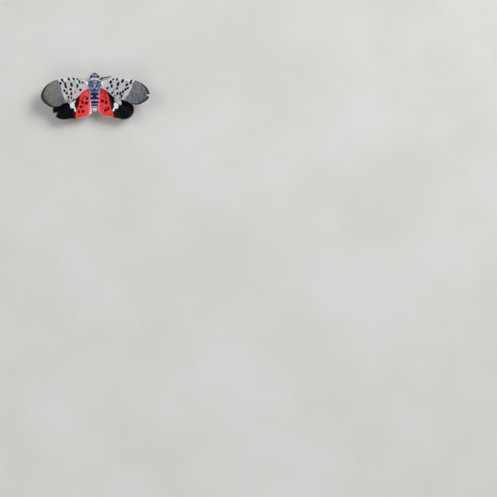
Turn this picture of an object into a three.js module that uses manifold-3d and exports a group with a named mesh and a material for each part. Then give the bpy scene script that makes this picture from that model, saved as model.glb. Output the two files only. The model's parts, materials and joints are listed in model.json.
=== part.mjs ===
// Spotted lanternfly, adult, standing on six legs with all four wings spread, at life size.
// Units are millimetres. +Z is up, the head points to -Y, and +X is the animal's left.
// The body is first laid out about the line between the forewing roots, at y = 0. The whole
// is then moved so that the origin lies on the floor under the middle of its outline.

import * as THREE from "three";
import { mergeVertices } from "three/addons/utils/BufferGeometryUtils.js";
import Module from "manifold-3d";

const wasm = await Module();
wasm.setup();

// Driving dimensions
const GAP = 0.25; // clearance between neighbouring pieces
const WING_THICKNESS = 0.5;
const VEIN_HEIGHT = 0.16; // crest of a main vein above the membrane
const LEAST_RADIUS = 0.26; // thinnest leg segment
const BODY_AROUND = 24; // sides of a body section
const LEG_AROUND = 8; // sides of a leg section
const MERGE_MM = 1e-4;
const MIRROR = { left: 1, right: -1 };

// Helpers that turn three.js geometry into solids and back

function solidOf(geometry) {
  const bare = new THREE.BufferGeometry();
  bare.setAttribute("position", geometry.getAttribute("position").clone());
  if (geometry.index) bare.setIndex(geometry.index.clone());
  const merged = mergeVertices(bare, MERGE_MM);
  const corners = merged.index.array;
  const kept = [];
  for (let i = 0; i < corners.length; i += 3) {
    const [a, b, c] = [corners[i], corners[i + 1], corners[i + 2]];
    if (a !== b && b !== c && c !== a) kept.push(a, b, c);
  }
  const build = (triangles) =>
    new wasm.Manifold(
      new wasm.Mesh({
        numProp: 3,
        vertProperties: new Float32Array(merged.attributes.position.array),
        triVerts: new Uint32Array(triangles),
      }),
    );
  const made = build(kept);
  return made.volume() > 0 ? made : build(kept.reverse());
}

function largest(solid) {
  return solid.decompose().reduce((a, b) => (a.volume() > b.volume() ? a : b));
}

function cutBy(solid, cutters) {
  return largest(cutters.reduce((rest, cutter) => rest.subtract(cutter), solid));
}

function joined(solids) {
  return solids.reduce((a, b) => a.add(b));
}

function geometryOf(solid) {
  const mesh = solid.getMesh();
  const geometry = new THREE.BufferGeometry();
  geometry.setAttribute("position", new THREE.BufferAttribute(mesh.vertProperties, 3));
  geometry.setIndex(new THREE.BufferAttribute(mesh.triVerts, 1));
  geometry.computeVertexNormals();
  return geometry;
}

function gridGeometry(points, triangles) {
  const geometry = new THREE.BufferGeometry().setFromPoints(points);
  geometry.setIndex(triangles);
  return geometry;
}

// Body sections. A station is [y, z of the centre, half width, height above, depth below].

const SQUARENESS = 2.3; // exponent of the section: 2 is an ellipse

function sectionPoint(angle, [y, z, width, up, down]) {
  const bend = (v) => Math.sign(v) * Math.abs(v) ** (2 / SQUARENESS);
  const [c, s] = [bend(Math.cos(angle)), bend(Math.sin(angle))];
  return new THREE.Vector3(width * c, y, z + (s > 0 ? up : down) * s);
}

// A closed body through the stations, its ends shut by flat fans. grow makes it larger all
// round, for use as a cutter. swell scales a section by its place along the body.
function bodyLoft(stations, rings, { grow = 0, swell = () => 1 } = {}) {
  const along = stations.map((station) => station[0]);
  const values = stations.flatMap((station) => station.slice(1));
  const smooth = new THREE.CubicInterpolant(along, values, 4);
  const [first, last] = [along[0], along[along.length - 1]];
  const points = [];
  for (let ring = 0; ring <= rings; ring++) {
    const y = first + ((last - first) * ring) / rings;
    const [z, width, up, down] = smooth.evaluate(y);
    const scale = swell(y);
    const stretch = THREE.MathUtils.lerp(-grow, grow, ring / rings);
    const section = [
      y + stretch,
      z,
      width * scale + grow,
      up * scale + grow,
      down * scale + grow,
    ];
    for (let i = 0; i < BODY_AROUND; i++)
      points.push(sectionPoint((2 * Math.PI * i) / BODY_AROUND, section));
  }
  const triangles = [];
  const at = (ring, i) => ring * BODY_AROUND + (i % BODY_AROUND);
  for (let ring = 0; ring < rings; ring++)
    for (let i = 0; i < BODY_AROUND; i++) {
      triangles.push(at(ring, i), at(ring + 1, i), at(ring, i + 1));
      triangles.push(at(ring, i + 1), at(ring + 1, i), at(ring + 1, i + 1));
    }
  for (let i = 2; i < BODY_AROUND; i++) {
    triangles.push(at(0, 0), at(0, i - 1), at(0, i));
    triangles.push(at(rings, 0), at(rings, i), at(rings, i - 1));
  }
  return solidOf(gridGeometry(points, triangles));
}

function ellipsoid([x, y, z], [rx, ry, rz], around = 16, high = 10) {
  const ball = new THREE.SphereGeometry(1, around, high);
  return solidOf(ball.scale(rx, ry, rz).translate(x, y, z));
}

// A tapered round rod from one point to another, with blunt ends on its axis. radii are
// spaced evenly along it.
function rod(from, to, radii, around = LEG_AROUND) {
  const [a, b] = [new THREE.Vector3(...from), new THREE.Vector3(...to)];
  const length = a.distanceTo(b);
  const profile = [new THREE.Vector2(0, -radii[0] * 0.6)];
  radii.forEach((radius, i) => {
    profile.push(new THREE.Vector2(radius, (length * i) / (radii.length - 1)));
  });
  profile.push(new THREE.Vector2(0, length + radii[radii.length - 1] * 0.6));
  const turned = new THREE.LatheGeometry(profile, around);
  const up = new THREE.Vector3(0, 1, 0);
  const turn = new THREE.Quaternion().setFromUnitVectors(up, b.clone().sub(a).normalize());
  turned.applyQuaternion(turn).translate(a.x, a.y, a.z);
  return solidOf(turned);
}

// Head, prothorax, thorax and abdomen

const HEAD = [
  [-4.1, 5.05, 0.7, 0.35, 0.6],
  [-3.75, 4.95, 1.05, 0.6, 1.0],
  [-3.3, 4.8, 1.3, 0.82, 1.35],
  [-2.75, 4.62, 1.45, 1.02, 1.6],
  [-2.2, 4.5, 1.5, 1.15, 1.6],
];
const FACE_CENTRE = [0, -3.2, 3.75];
const FACE_RADII = [0.95, 0.75, 1.35];
const SNOUT = [
  [0, -3.7, 5.0],
  [0, -4.05, 5.5],
];
const PROTHORAX = [
  [-1.95, 4.5, 1.75, 1.25, 1.35],
  [-1.35, 4.5, 2.4, 1.55, 1.65],
  [-0.7, 4.45, 2.85, 1.78, 1.85],
];
const THORAX = [
  [-0.45, 4.42, 2.9, 1.75, 1.9],
  [0.7, 4.36, 3.0, 1.85, 2.1],
  [2.1, 4.3, 2.85, 1.85, 2.15],
  [3.5, 4.2, 2.5, 1.75, 2.0],
  [4.5, 4.12, 2.1, 1.55, 1.8],
];
// The shield on the thorax narrows to a point at the back.
const SHIELD = [
  [-0.45, 4.6, 2.35, 1.75, 1],
  [0.8, 4.7, 2.3, 1.85, 1],
  [2.2, 4.7, 1.65, 1.75, 1],
  [3.4, 4.65, 0.95, 1.6, 1],
  [4.5, 4.5, 0.3, 1.35, 1],
];
const TEGULA = [
  [2.2, 0.5, 5.65],
  [3.85, 0.6, 6.0],
];
const TEGULA_RADII = [0.5, 0.66, 0.6, 0.4];
const ABDOMEN = [
  [4.75, 4.08, 2.05, 1.45, 1.7],
  [6.0, 4.05, 2.2, 1.6, 1.9],
  [8.0, 3.92, 2.1, 1.55, 1.9],
  [10.0, 3.72, 1.75, 1.35, 1.6],
  [11.8, 3.52, 1.4, 1.0, 1.15],
];
const ABDOMEN_TIP = [
  [12.05, 3.5, 1.32, 0.9, 1.0],
  [12.55, 3.45, 1.1, 0.7, 0.8],
  [13.0, 3.4, 0.6, 0.4, 0.45],
];
// Where one back plate of the abdomen ends and the next begins
const SEGMENT_ENDS = [4.75, 6.75, 8.55, 10.05, 11.1, 11.8];
const SEGMENT_STEP = 0.09; // share by which each plate's rear edge stands proud

function segmentSwell(y) {
  const next = SEGMENT_ENDS.findIndex((end, i) => i > 0 && y <= end + 1e-6);
  const [start, end] = [SEGMENT_ENDS[next - 1], SEGMENT_ENDS[next]];
  const share = (y - start) / (end - start);
  return 1 - SEGMENT_STEP * (1 - Math.sin(Math.PI * Math.min(1, share * 0.75 + 0.1)));
}

const faceCutter = ellipsoid(FACE_CENTRE, FACE_RADII.map((r) => r + GAP), 14, 8);
const headCutter = joined([bodyLoft(HEAD, 6, { grow: GAP }), faceCutter]);
const prothoraxCutter = bodyLoft(PROTHORAX, 3, { grow: GAP });
// A lobe on each side of the thorax covers the root of the forewing.
const tegula = (sign, grow) =>
  rod(
    [TEGULA[0][0] * sign, TEGULA[0][1], TEGULA[0][2]],
    [TEGULA[1][0] * sign, TEGULA[1][1], TEGULA[1][2]],
    TEGULA_RADII.map((r) => r + grow),
    10,
  );
const thoraxWith = (grow, rings) =>
  joined([
    bodyLoft(THORAX, rings, { grow }),
    bodyLoft(SHIELD, rings, { grow }),
    tegula(MIRROR.left, grow),
    tegula(MIRROR.right, grow),
  ]);
const thoraxCutter = thoraxWith(GAP, 8);
const abdomenCutter = bodyLoft(ABDOMEN, 10, { grow: GAP });
const tipCutter = bodyLoft(ABDOMEN_TIP, 4, { grow: GAP });

const parts = {};
const face = ellipsoid(FACE_CENTRE, FACE_RADII, 14, 8);
parts.head = cutBy(joined([bodyLoft(HEAD, 8), face, rod(...SNOUT, [0.5, 0.44, 0.3])]), [
  prothoraxCutter,
]);
parts.prothorax = bodyLoft(PROTHORAX, 5);
parts.thorax = cutBy(thoraxWith(0, 10), [prothoraxCutter]);
parts.abdomen = bodyLoft(ABDOMEN, 28, { swell: segmentSwell });
parts.abdomen_tip = bodyLoft(ABDOMEN_TIP, 5);

// Eyes, antennae and the beak that lies along the underside

const EYE_CENTRE = [1.56, -2.6, 4.72];
const EYE_RADII = [0.66, 0.62, 0.72];
const PEDICEL_CENTRE = [1.58, -3.0, 3.72];
const PEDICEL_RADII = [0.4, 0.4, 0.48];
const BRISTLE_TIP = [2.9, -3.95, 3.35];
const BEAK = [
  [0, -2.75, 2.95],
  [0, -1.9, 2.2],
  [0, 5.0, 1.75],
];
const BEAK_RADII = [0.42, 0.34, 0.28, 0.26];

const beak = joined([
  rod(BEAK[0], BEAK[1], [0.5, 0.4]),
  rod(BEAK[1], BEAK[2], BEAK_RADII),
]);
const beakCutter = rod(BEAK[1], BEAK[2], BEAK_RADII.map((r) => r + GAP));
parts.beak = cutBy(beak, [headCutter, prothoraxCutter, thoraxCutter, abdomenCutter]);

for (const [side, sign] of Object.entries(MIRROR)) {
  const across = ([x, y, z]) => [x * sign, y, z];
  const grown = (radii) => radii.map((r) => r + GAP);
  const eye = ellipsoid(across(EYE_CENTRE), EYE_RADII);
  const eyeCutter = ellipsoid(across(EYE_CENTRE), grown(EYE_RADII));
  parts["eye_" + side] = cutBy(eye, [headCutter, prothoraxCutter]);
  const antenna = joined([
    ellipsoid(across(PEDICEL_CENTRE), PEDICEL_RADII, 12, 8),
    rod(across(PEDICEL_CENTRE), across(BRISTLE_TIP), [0.26, 0.18, 0.08], 6),
  ]);
  parts["antenna_" + side] = cutBy(antenna, [headCutter, eyeCutter]);
}

// Wings. A wing is a sheet strung on ribs. Each rib runs from the front edge to the hind edge,
// and the last one is the outer margin. Along a rib, t goes from 0 at the front to 1 at the
// hind edge, and s goes from 0 at the root to 1 at the margin.

const FOREWING = {
  stations: [0, 0.2, 0.42, 0.66, 1],
  ribs: [
    { front: [2.3, -0.35], hind: [2.4, 2.6], bulge: 0 },
    { front: [6.6, -1.3], hind: [5.4, 4.6], bulge: 0 },
    { front: [11.1, -1.75], hind: [8.7, 8.0], bulge: 0.3 },
    { front: [16.4, -0.7], hind: [12.4, 9.4], bulge: 0.5 },
  ],
  margin: [
    [18.4, 0.05],
    [20.8, 1.5],
    [22.6, 3.5],
    [23.7, 6.3],
    [23.2, 8.6],
    [21.3, 10.5],
    [18.6, 11.8],
    [15.4, 11.2],
  ],
  veins: [0.05, 0.17, 0.3, 0.43, 0.56, 0.69, 0.82],
  rows: 14,
};
const HINDWING = {
  stations: [0, 0.3, 0.62, 1],
  ribs: [
    { front: [2.35, 2.0], hind: [2.2, 3.6], bulge: 0.1 },
    { front: [7.0, 3.8], hind: [1.9, 7.2], bulge: 0.7 },
    { front: [12.3, 6.8], hind: [1.5, 11.2], bulge: 1.6 },
  ],
  margin: [
    [17.3, 10.0],
    [18.6, 12.2],
    [18.2, 14.8],
    [16.3, 16.5],
    [13.6, 17.0],
    [10.4, 16.7],
    [7.7, 16.3],
    [5.0, 15.75],
    [2.9, 15.0],
    [1.25, 14.1],
  ],
  veins: [0.06, 0.2, 0.34, 0.47, 0.6, 0.73, 0.86],
  rows: 12,
};
// The right hindwing is shorter behind, so it has a margin of its own.
const SHORT_HINDWING = {
  ...HINDWING,
  margin: [
    [16.4, 9.6],
    [17.5, 11.5],
    [17.3, 14.0],
    [15.5, 16.2],
    [12.8, 16.9],
    [10.2, 16.4],
    [7.4, 15.6],
    [5.2, 15.3],
    [3.2, 14.5],
    [1.7, 13.1],
  ],
};
// Each wing is stretched along X and Y from the front of its root and then turned about it by
// sweep, in degrees, positive towards the tail. tear is a nick in the outer margin: the t of
// its middle, its half width in t and its depth in s.
const WING_POSES = {
  forewing_left: { wing: FOREWING, stretch: [1, 1], sweep: 0, tear: null },
  forewing_right: {
    wing: FOREWING,
    stretch: [1.03, 0.9],
    sweep: -0.3,
    tear: { at: 0.48, half: 0.036, depth: 0.085 },
  },
  hindwing_left: {
    wing: HINDWING,
    stretch: [1, 1],
    sweep: 0,
    tear: { at: 0.232, half: 0.045, depth: 0.072 },
  },
  hindwing_right: { wing: SHORT_HINDWING, stretch: [1, 1], sweep: 0, tear: null },
};

const forewingHeight = (s, t) =>
  5.0 + 4.2 * s - 2.4 * s * s + 0.45 * Math.sin(Math.PI * t) * Math.sin(2.6 * s);
const HINDWING_FOLDS = 4;
const hindwingHeight = (s, t) =>
  4.2 + 1.7 * s - 1.1 * s * s + 0.16 * s * Math.sin(2 * Math.PI * HINDWING_FOLDS * t);

function ribPoint(wing, rib, t) {
  if (rib === wing.ribs.length) return wing.marginCurve.getPointAt(t);
  const { front, hind, bulge } = wing.ribs[rib];
  const a = new THREE.Vector2(...front);
  const b = new THREE.Vector2(...hind);
  const outward = new THREE.Vector2(b.y - a.y, a.x - b.x).normalize();
  return a.clone().lerp(b, t).addScaledVector(outward, bulge * 4 * t * (1 - t));
}

for (const wing of [FOREWING, HINDWING, SHORT_HINDWING])
  wing.marginCurve = new THREE.SplineCurve(wing.margin.map((p) => new THREE.Vector2(...p)));

// The sheet's point at s and t: a cubic through the ribs' points at t.
function sheetPoint(wing, s, t) {
  const points = wing.stations.flatMap((_, rib) => ribPoint(wing, rib, t).toArray());
  const [x, y] = new THREE.CubicInterpolant(wing.stations, points, 2).evaluate(s);
  return new THREE.Vector2(x, y);
}

// The columns of the grid: three for each vein, one between veins, and those of the tear.
function columnsOf(wing, tear) {
  const HALF_VEIN = 0.014;
  const columns = [0, 1];
  wing.veins.forEach((vein, i) => {
    columns.push(vein - HALF_VEIN, vein, vein + HALF_VEIN);
    columns.push((vein + (wing.veins[i + 1] ?? 1)) / 2);
  });
  if (tear) {
    const near = (t) => Math.abs(t - tear.at) < tear.half * 1.4;
    const edges = [tear.at - tear.half, tear.at, tear.at + tear.half];
    return [...columns.filter((t) => !near(t)), ...edges].sort((a, b) => a - b);
  }
  return columns.sort((a, b) => a - b);
}

function wingSolid(height, sign, { wing, stretch, sweep, tear }) {
  const columns = columnsOf(wing, tear);
  const root = new THREE.Vector2(...wing.ribs[0].front);
  const turn = THREE.MathUtils.degToRad(sweep);
  const widen = new THREE.Vector2(...stretch);
  const [top, bottom] = [[], []];
  for (let row = 0; row <= wing.rows; row++)
    for (const t of columns) {
      const nick = tear && Math.abs(t - tear.at) < tear.half * 0.5 ? tear.depth : 0;
      const s = (row / wing.rows) * (1 - nick);
      const flat = sheetPoint(wing, s, t).sub(root).multiply(widen).add(root);
      flat.rotateAround(root, turn);
      const vein = wing.veins.includes(t) ? VEIN_HEIGHT * (1 - 0.5 * s) : 0;
      const z = height(s, t);
      const half = WING_THICKNESS / 2;
      top.push(new THREE.Vector3(flat.x * sign, flat.y, z + half + vein));
      bottom.push(new THREE.Vector3(flat.x * sign, flat.y, z - half));
    }
  const wide = columns.length;
  const count = top.length;
  const triangles = [];
  const quad = (a, b, c, d) => triangles.push(a, b, c, a, c, d);
  for (let row = 0; row < wing.rows; row++)
    for (let i = 0; i + 1 < wide; i++) {
      const [a, b] = [row * wide + i, row * wide + i + 1];
      const [c, d] = [b + wide, a + wide];
      quad(a, b, c, d);
      triangles.push(count + a, count + c, count + b, count + a, count + d, count + c);
    }
  for (let row = 0; row < wing.rows; row++) {
    const [a, b] = [row * wide, (row + 1) * wide];
    quad(a, b, count + b, count + a);
    const [c, d] = [a + wide - 1, b + wide - 1];
    quad(c, count + c, count + d, d);
  }
  for (let i = 0; i + 1 < wide; i++) {
    quad(i, count + i, count + i + 1, i + 1);
    const [c, d] = [wing.rows * wide + i, wing.rows * wide + i + 1];
    quad(c, d, count + d, count + c);
  }
  return solidOf(gridGeometry([...top, ...bottom], triangles));
}

const bodyCutters = [prothoraxCutter, thoraxCutter, abdomenCutter, tipCutter];

for (const [side, sign] of Object.entries(MIRROR)) {
  const fore = wingSolid(forewingHeight, sign, WING_POSES["forewing_" + side]);
  const hind = wingSolid(hindwingHeight, sign, WING_POSES["hindwing_" + side]);
  parts["forewing_" + side] = cutBy(fore, bodyCutters);
  parts["hindwing_" + side] = cutBy(hind, bodyCutters);
}

// Legs. Each foot lies along the floor and is cut off flat at z = 0.

const FOOT_HEIGHT = 0.16; // of the foot's middle line over the floor
const LEGS = {
  foreleg_left: {
    hip: [1.15, -1.2, 2.5],
    knee: [2.35, -1.95, 3.15],
    ankle: [1.75, -3.0],
    toe: [1.15, -4.1],
  },
  foreleg_right: {
    hip: [-1.15, -1.2, 2.5],
    knee: [-4.0, -2.3, 4.1],
    ankle: [-5.8, -3.2],
    toe: [-7.0, -3.8],
  },
  midleg_left: {
    hip: [1.3, 0.9, 2.0],
    knee: [4.6, 0.2, 3.7],
    ankle: [7.0, 0.9],
    toe: [8.7, 1.3],
  },
  midleg_right: {
    hip: [-1.3, 0.9, 2.0],
    knee: [-4.6, 0.5, 3.7],
    ankle: [-6.9, 1.7],
    toe: [-8.5, 2.4],
  },
  hindleg_left: {
    hip: [1.35, 3.3, 2.0],
    knee: [4.3, 4.9, 3.5],
    ankle: [6.0, 10.2],
    toe: [6.6, 12.0],
  },
  hindleg_right: {
    hip: [-1.35, 3.3, 2.0],
    knee: [-4.4, 4.7, 3.5],
    ankle: [-6.4, 9.8],
    toe: [-7.2, 11.5],
  },
};
const COXA_RADII = [0.55, 0.62, 0.5];
const FEMUR = [0.34, 0.44, 0.4, 0.32];
const TIBIA = [0.3, LEAST_RADIUS, LEAST_RADIUS, 0.3];
const TARSUS = [0.27, 0.3, LEAST_RADIUS];
const SPINES = 3; // on the outer side of a hind tibia
const SPINE_LENGTH = 0.55;

function legSolid(name, { hip, knee, ankle, toe }) {
  const sign = Math.sign(hip[0]);
  const heel = [...ankle, FOOT_HEIGHT + 0.12];
  const pieces = [
    rod([hip[0] * 0.8, hip[1], hip[2] + 0.7], hip, COXA_RADII),
    rod(hip, knee, FEMUR),
    rod(knee, heel, TIBIA),
    rod(heel, [...toe, FOOT_HEIGHT], TARSUS),
  ];
  if (name.startsWith("hindleg"))
    for (let i = 0; i < SPINES; i++) {
      const [a, b] = [new THREE.Vector3(...knee), new THREE.Vector3(...heel)];
      const foot = a.lerp(b, 0.35 + 0.25 * i);
      const tip = [foot.x + sign * SPINE_LENGTH, foot.y + 0.25, foot.z + 0.05];
      pieces.push(rod(foot.toArray(), tip, [0.16, 0.03], 5));
    }
  return joined(pieces).trimByPlane([0, 0, 1], 0);
}

for (const [name, leg] of Object.entries(LEGS))
  parts[name] = cutBy(legSolid(name, leg), [headCutter, ...bodyCutters, beakCutter]);

// Colours, one material for each kind of piece

const finish = (color, roughness) => ({ color, roughness, metalness: 0 });
const FINISHES = {
  head: finish(0x55525c, 0.7),
  prothorax: finish(0x9a97a6, 0.75),
  thorax: finish(0x5c6676, 0.7),
  abdomen: finish(0x1d1833, 0.6),
  abdomen_tip: finish(0xd9d6d8, 0.8),
  beak: finish(0x1a1718, 0.6),
  eye: finish(0x14121a, 0.25),
  antenna: finish(0xd4661e, 0.55),
  forewing: finish(0xbdb6b4, 0.65),
  hindwing: finish(0xd8302c, 0.6),
  foreleg: finish(0x17151a, 0.55),
  midleg: finish(0x17151a, 0.55),
  hindleg: finish(0x17151a, 0.55),
};

const lanternfly = new THREE.Group();
for (const [name, solid] of Object.entries(parts)) {
  const kind = name.replace(/_(left|right)$/, "");
  const mesh = new THREE.Mesh(
    geometryOf(solid),
    new THREE.MeshStandardMaterial(FINISHES[kind]),
  );
  mesh.name = name;
  lanternfly.add(mesh);
}

// The origin goes to the floor under the middle of the outline.
const outline = new THREE.Box3().setFromObject(lanternfly);
const middle = outline.getCenter(new THREE.Vector3());
for (const mesh of lanternfly.children) mesh.position.set(-middle.x, -middle.y, 0);

export default lanternfly;
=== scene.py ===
# %% [markdown]
# # A spotted lanternfly with its wings spread
# A lanternfly is a planthopper about as long as a thumbnail. This one stands on its six legs with both
# pairs of wings open. Its body is one hard skin, and the eyes, feelers, beak, legs and wings join it.
# The solids that were made first are loaded as a fixed frame. They could be shown as they are, but they
# are plain, so each is replaced by a finer piece that is built from the same named sizes.

# %% Load the fixed frame
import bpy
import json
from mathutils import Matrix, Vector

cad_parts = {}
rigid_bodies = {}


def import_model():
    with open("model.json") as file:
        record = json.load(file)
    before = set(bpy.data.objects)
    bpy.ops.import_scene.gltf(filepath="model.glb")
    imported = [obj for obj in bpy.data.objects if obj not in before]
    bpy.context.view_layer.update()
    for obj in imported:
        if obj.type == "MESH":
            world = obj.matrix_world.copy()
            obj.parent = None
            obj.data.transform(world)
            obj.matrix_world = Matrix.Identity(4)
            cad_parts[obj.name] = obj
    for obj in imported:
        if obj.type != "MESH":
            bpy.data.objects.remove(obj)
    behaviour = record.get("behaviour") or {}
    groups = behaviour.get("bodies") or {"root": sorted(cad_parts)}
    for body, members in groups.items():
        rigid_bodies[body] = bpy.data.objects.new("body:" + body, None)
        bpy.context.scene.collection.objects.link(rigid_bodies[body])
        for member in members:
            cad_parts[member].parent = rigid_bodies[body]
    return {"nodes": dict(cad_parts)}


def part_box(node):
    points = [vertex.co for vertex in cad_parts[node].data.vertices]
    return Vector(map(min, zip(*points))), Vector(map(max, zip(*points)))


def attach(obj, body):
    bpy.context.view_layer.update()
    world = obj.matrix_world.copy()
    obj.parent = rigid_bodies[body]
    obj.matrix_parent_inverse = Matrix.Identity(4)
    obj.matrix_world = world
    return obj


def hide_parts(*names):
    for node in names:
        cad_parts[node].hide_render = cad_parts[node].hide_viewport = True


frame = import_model()
print("solids in the frame:", len(frame["nodes"]))

# %% [markdown]
# ## Sizes and places
# Every size could be typed in the frame's metres, but millimetres on the body are easier to read. On the
# body's own scale the midline is x = 0, and y = 0 lies between the roots of the forewings. The frame has
# its origin under the middle of the outline, so one shift joins the two. The collar behind the head is
# even on both sides, so its solid gives that shift.

# %% From the body's millimetres to the frame's metres
import json
import math
import bpy
import numpy as np
from mathutils import Vector

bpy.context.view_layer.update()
MM = 0.001
MM_IN_METRE = 1000
COLLAR_FRONT = -1.95  # y of the collar's front edge
low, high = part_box("prothorax")
ORIGIN = np.array([(low.x + high.x) / 2, low.y - COLLAR_FRONT * MM, 0.0])


def placed(points):
    """Points on the body's scale, in mm, as points of the frame, in metres."""
    return np.asarray(points, float) * MM + ORIGIN


print("shift to the frame, in mm:", (ORIGIN / MM).round(2))

# %% [markdown]
# ## Camera
# The photograph looks down on the back from behind, 78 degrees above the level, and the animal is small
# in the upper left of it. A long lens far away keeps its shape true off the middle of the picture. The
# lens could be shifted sideways, but a turned camera shows nearly the same: it is turned until the ray of
# the right pixel meets the body.

# %% Make the camera
PHOTO_SIZE = 497  # pixels on each side
PHOTO_MIDLINE = (94.6, 82.0)  # the pixel of the body's midline, level with the forewing roots
MM_PER_PIXEL = 0.445
BACK_HEIGHT = 5.5  # z of the back there
LOOK_DOWN = math.radians(78)
VIEW_ANGLE = math.radians(12)

focal = PHOTO_SIZE / 2 / math.tan(VIEW_ANGLE / 2)
offset = [p - PHOTO_SIZE / 2 for p in PHOTO_MIDLINE]
ray = Vector((offset[0], -offset[1], -focal)).normalized()
sight = Vector((0, -math.cos(LOOK_DOWN), -math.sin(LOOK_DOWN)))
distance = focal * MM_PER_PIXEL * MM / -ray.z
camera_data = bpy.data.cameras.new("camera")
camera_data.angle = VIEW_ANGLE
camera_data.clip_end = 10  # metres
camera = bpy.data.objects.new("camera", camera_data)
bpy.context.scene.collection.objects.link(camera)
bpy.context.scene.camera = camera
camera.rotation_mode = "QUATERNION"
onto_axis = ray.rotation_difference(Vector((0, 0, -1)))
camera.rotation_quaternion = sight.to_track_quat("-Z", "Y") @ onto_axis
camera.location = Vector(placed((0, 0, BACK_HEIGHT))) - sight * distance
print("camera distance, in m:", round(distance, 3))


def seen_at(points):
    """The photo's pixel of each point on the body's scale, as two arrays."""
    x, y, z = np.asarray(points, float).T
    down = y * math.sin(LOOK_DOWN) - (z - BACK_HEIGHT) * math.cos(LOOK_DOWN)
    return PHOTO_MIDLINE[0] - x / MM_PER_PIXEL, PHOTO_MIDLINE[1] + down / MM_PER_PIXEL


# %% [markdown]
# ## Shape tools
# Nearly all of the animal is made of three kinds of shape: a smooth line through a few given
# values, a tube round a line, and a loft through cross-sections. They could come from Blender's curves,
# but arrays of points are faster for hundreds of small veins, and each shape stays a closed mesh.

# %% Smooth curves and smooth steps
WAVE_COUNT = 8


def along(knots, values, x):
    """Reads values[k, i] at x[i] between knots. A knot's slope is the mean of its neighbours'."""
    knots = np.asarray(knots, float)
    steps = np.diff(values, axis=0) / np.diff(knots).reshape(-1, 1, 1)
    slopes = np.concatenate([steps[:1], (steps[:-1] + steps[1:]) / 2, steps[-1:]])
    k = np.clip(np.searchsorted(knots, x, side="right") - 1, 0, len(knots) - 2)
    gap = (knots[k + 1] - knots[k])[:, None]
    u = (x - knots[k])[:, None] / gap
    i = np.arange(len(x))
    leave, arrive = slopes[k, i] * gap, slopes[k + 1, i] * gap
    ends = (2 * u**3 - 3 * u**2 + 1) * values[k, i] + (3 * u**2 - 2 * u**3) * values[k + 1, i]
    return ends + (u**3 - 2 * u**2 + u) * leave + (u**3 - u**2) * arrive


def smooth_line(points, count):
    """count points along a smooth line through the given ones."""
    points = np.array(points, float)
    x = np.linspace(0, len(points) - 1, count)
    values = np.broadcast_to(points[:, None], (len(points), count, points.shape[1]))
    return along(np.arange(len(points)), values, x)


def eased(x, start, end):
    """0 up to start, 1 from end, and a smooth step between. end may be less than start."""
    u = np.clip((x - start) / (end - start), 0, 1)
    return u * u * (3 - 2 * u)


def waves(points, per_mm, height, seed):
    """A smooth uneven value at each point, made of a few waves in random directions."""
    draw = np.random.default_rng(seed)
    total = np.zeros(len(points))
    for _ in range(WAVE_COUNT):
        way = draw.normal(0, 1, points.shape[1])
        way *= 2 * math.pi * per_mm * draw.uniform(0.5, 1.5) / np.linalg.norm(way)
        total += np.sin(points @ way + draw.uniform(0, 2 * math.pi))
    return height * total / 2  # eight waves add up to about two


print("a smooth step half way up:", float(eased(0.5, 0, 1)))

# %% Rings of points as closed shells


def ring_faces(rings, around):
    """Faces between rings of points that each close on themselves."""
    at = np.arange(rings * around).reshape(rings, around)
    after = np.roll(at, -1, axis=1)
    return np.stack([at[:-1], after[:-1], after[1:], at[1:]], -1).reshape(-1, 4).tolist()


def merged(shells):
    """One list of points and one of faces from several."""
    points, faces, start = [], [], 0
    for shell_points, shell_faces in shells:
        points.append(np.asarray(shell_points, float))
        faces += [[i + start for i in face] for face in shell_faces]
        start += len(shell_points)
    return np.concatenate(points), faces


print("faces between 3 rings of 8 points:", len(ring_faces(3, 8)))

# %% Tubes, limbs and balls
LIMB_RINGS = 26
FAVOUR_UPRIGHT = (0, 0, -0.2)  # makes z the likelier way up for a tube's rings


def tube(path, radii, around=8, tall=1.0):
    """A closed tube round a path of points, tall times as high as it is wide."""
    path = np.asarray(path, float)
    radii = np.broadcast_to(radii, len(path))
    run = np.gradient(path, axis=0)
    run /= np.linalg.norm(run, axis=1, keepdims=True)
    up = np.eye(3)[np.argmin(np.abs(run.mean(0)) + FAVOUR_UPRIGHT)]
    side = np.cross(run, up)
    side /= np.linalg.norm(side, axis=1, keepdims=True)
    lift = np.cross(side, run)
    angle = np.linspace(0, 2 * math.pi, around, endpoint=False)
    sideways = radii[:, None, None] * np.cos(angle)[:, None] * side[:, None]
    upwards = radii[:, None, None] * tall * np.sin(angle)[:, None] * lift[:, None]
    points = (path[:, None] + sideways + upwards).reshape(-1, 3)
    faces = ring_faces(len(path), around)
    count = len(points)
    points = np.concatenate([points, path[:1], path[-1:]])
    for i in range(around):
        j = (i + 1) % around
        faces.append([j, i, count])
        faces.append([count - around + i, count - around + j, count + 1])
    return points, faces


def limb(start, end, radii, around=16):
    """A round-ended tube from start to end, with radii spaced evenly along it."""
    u = (1 - np.cos(np.linspace(0, math.pi, LIMB_RINGS))) / 2
    start, end = np.array(start, float), np.array(end, float)
    radius = np.interp(u, np.linspace(0, 1, len(radii)), radii)
    length = np.linalg.norm(end - start)
    # The end rings keep a little width, so that no face shrinks to nothing.
    from_end = np.minimum(u, 1 - u) * length / radius + 0.02
    radius = radius * np.sqrt(1 - (1 - np.clip(from_end, 0, 1)) ** 2)
    return tube(start + (end - start) * u[:, None], radius, around)


def ball(centre, radii, around=32):
    """An egg shape."""
    u = np.linspace(0, math.pi, around // 2 + 1)[1:-1]
    path = np.array(centre) + np.outer(-np.cos(u), (0, 0, radii[2]))
    points, faces = tube(path, 1, around)
    rings = len(u) * around
    reach = np.repeat(np.sin(u), around)[:, None]
    points[:rings, :2] = centre[:2] + (points[:rings, :2] - centre[:2]) * reach * radii[:2]
    points[rings:, 2] = centre[2] + np.array([-radii[2], radii[2]])
    return points, faces


print("faces of a ball of 32 sides:", len(ball((0, 0, 0), (1, 1, 1))[1]))

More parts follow.
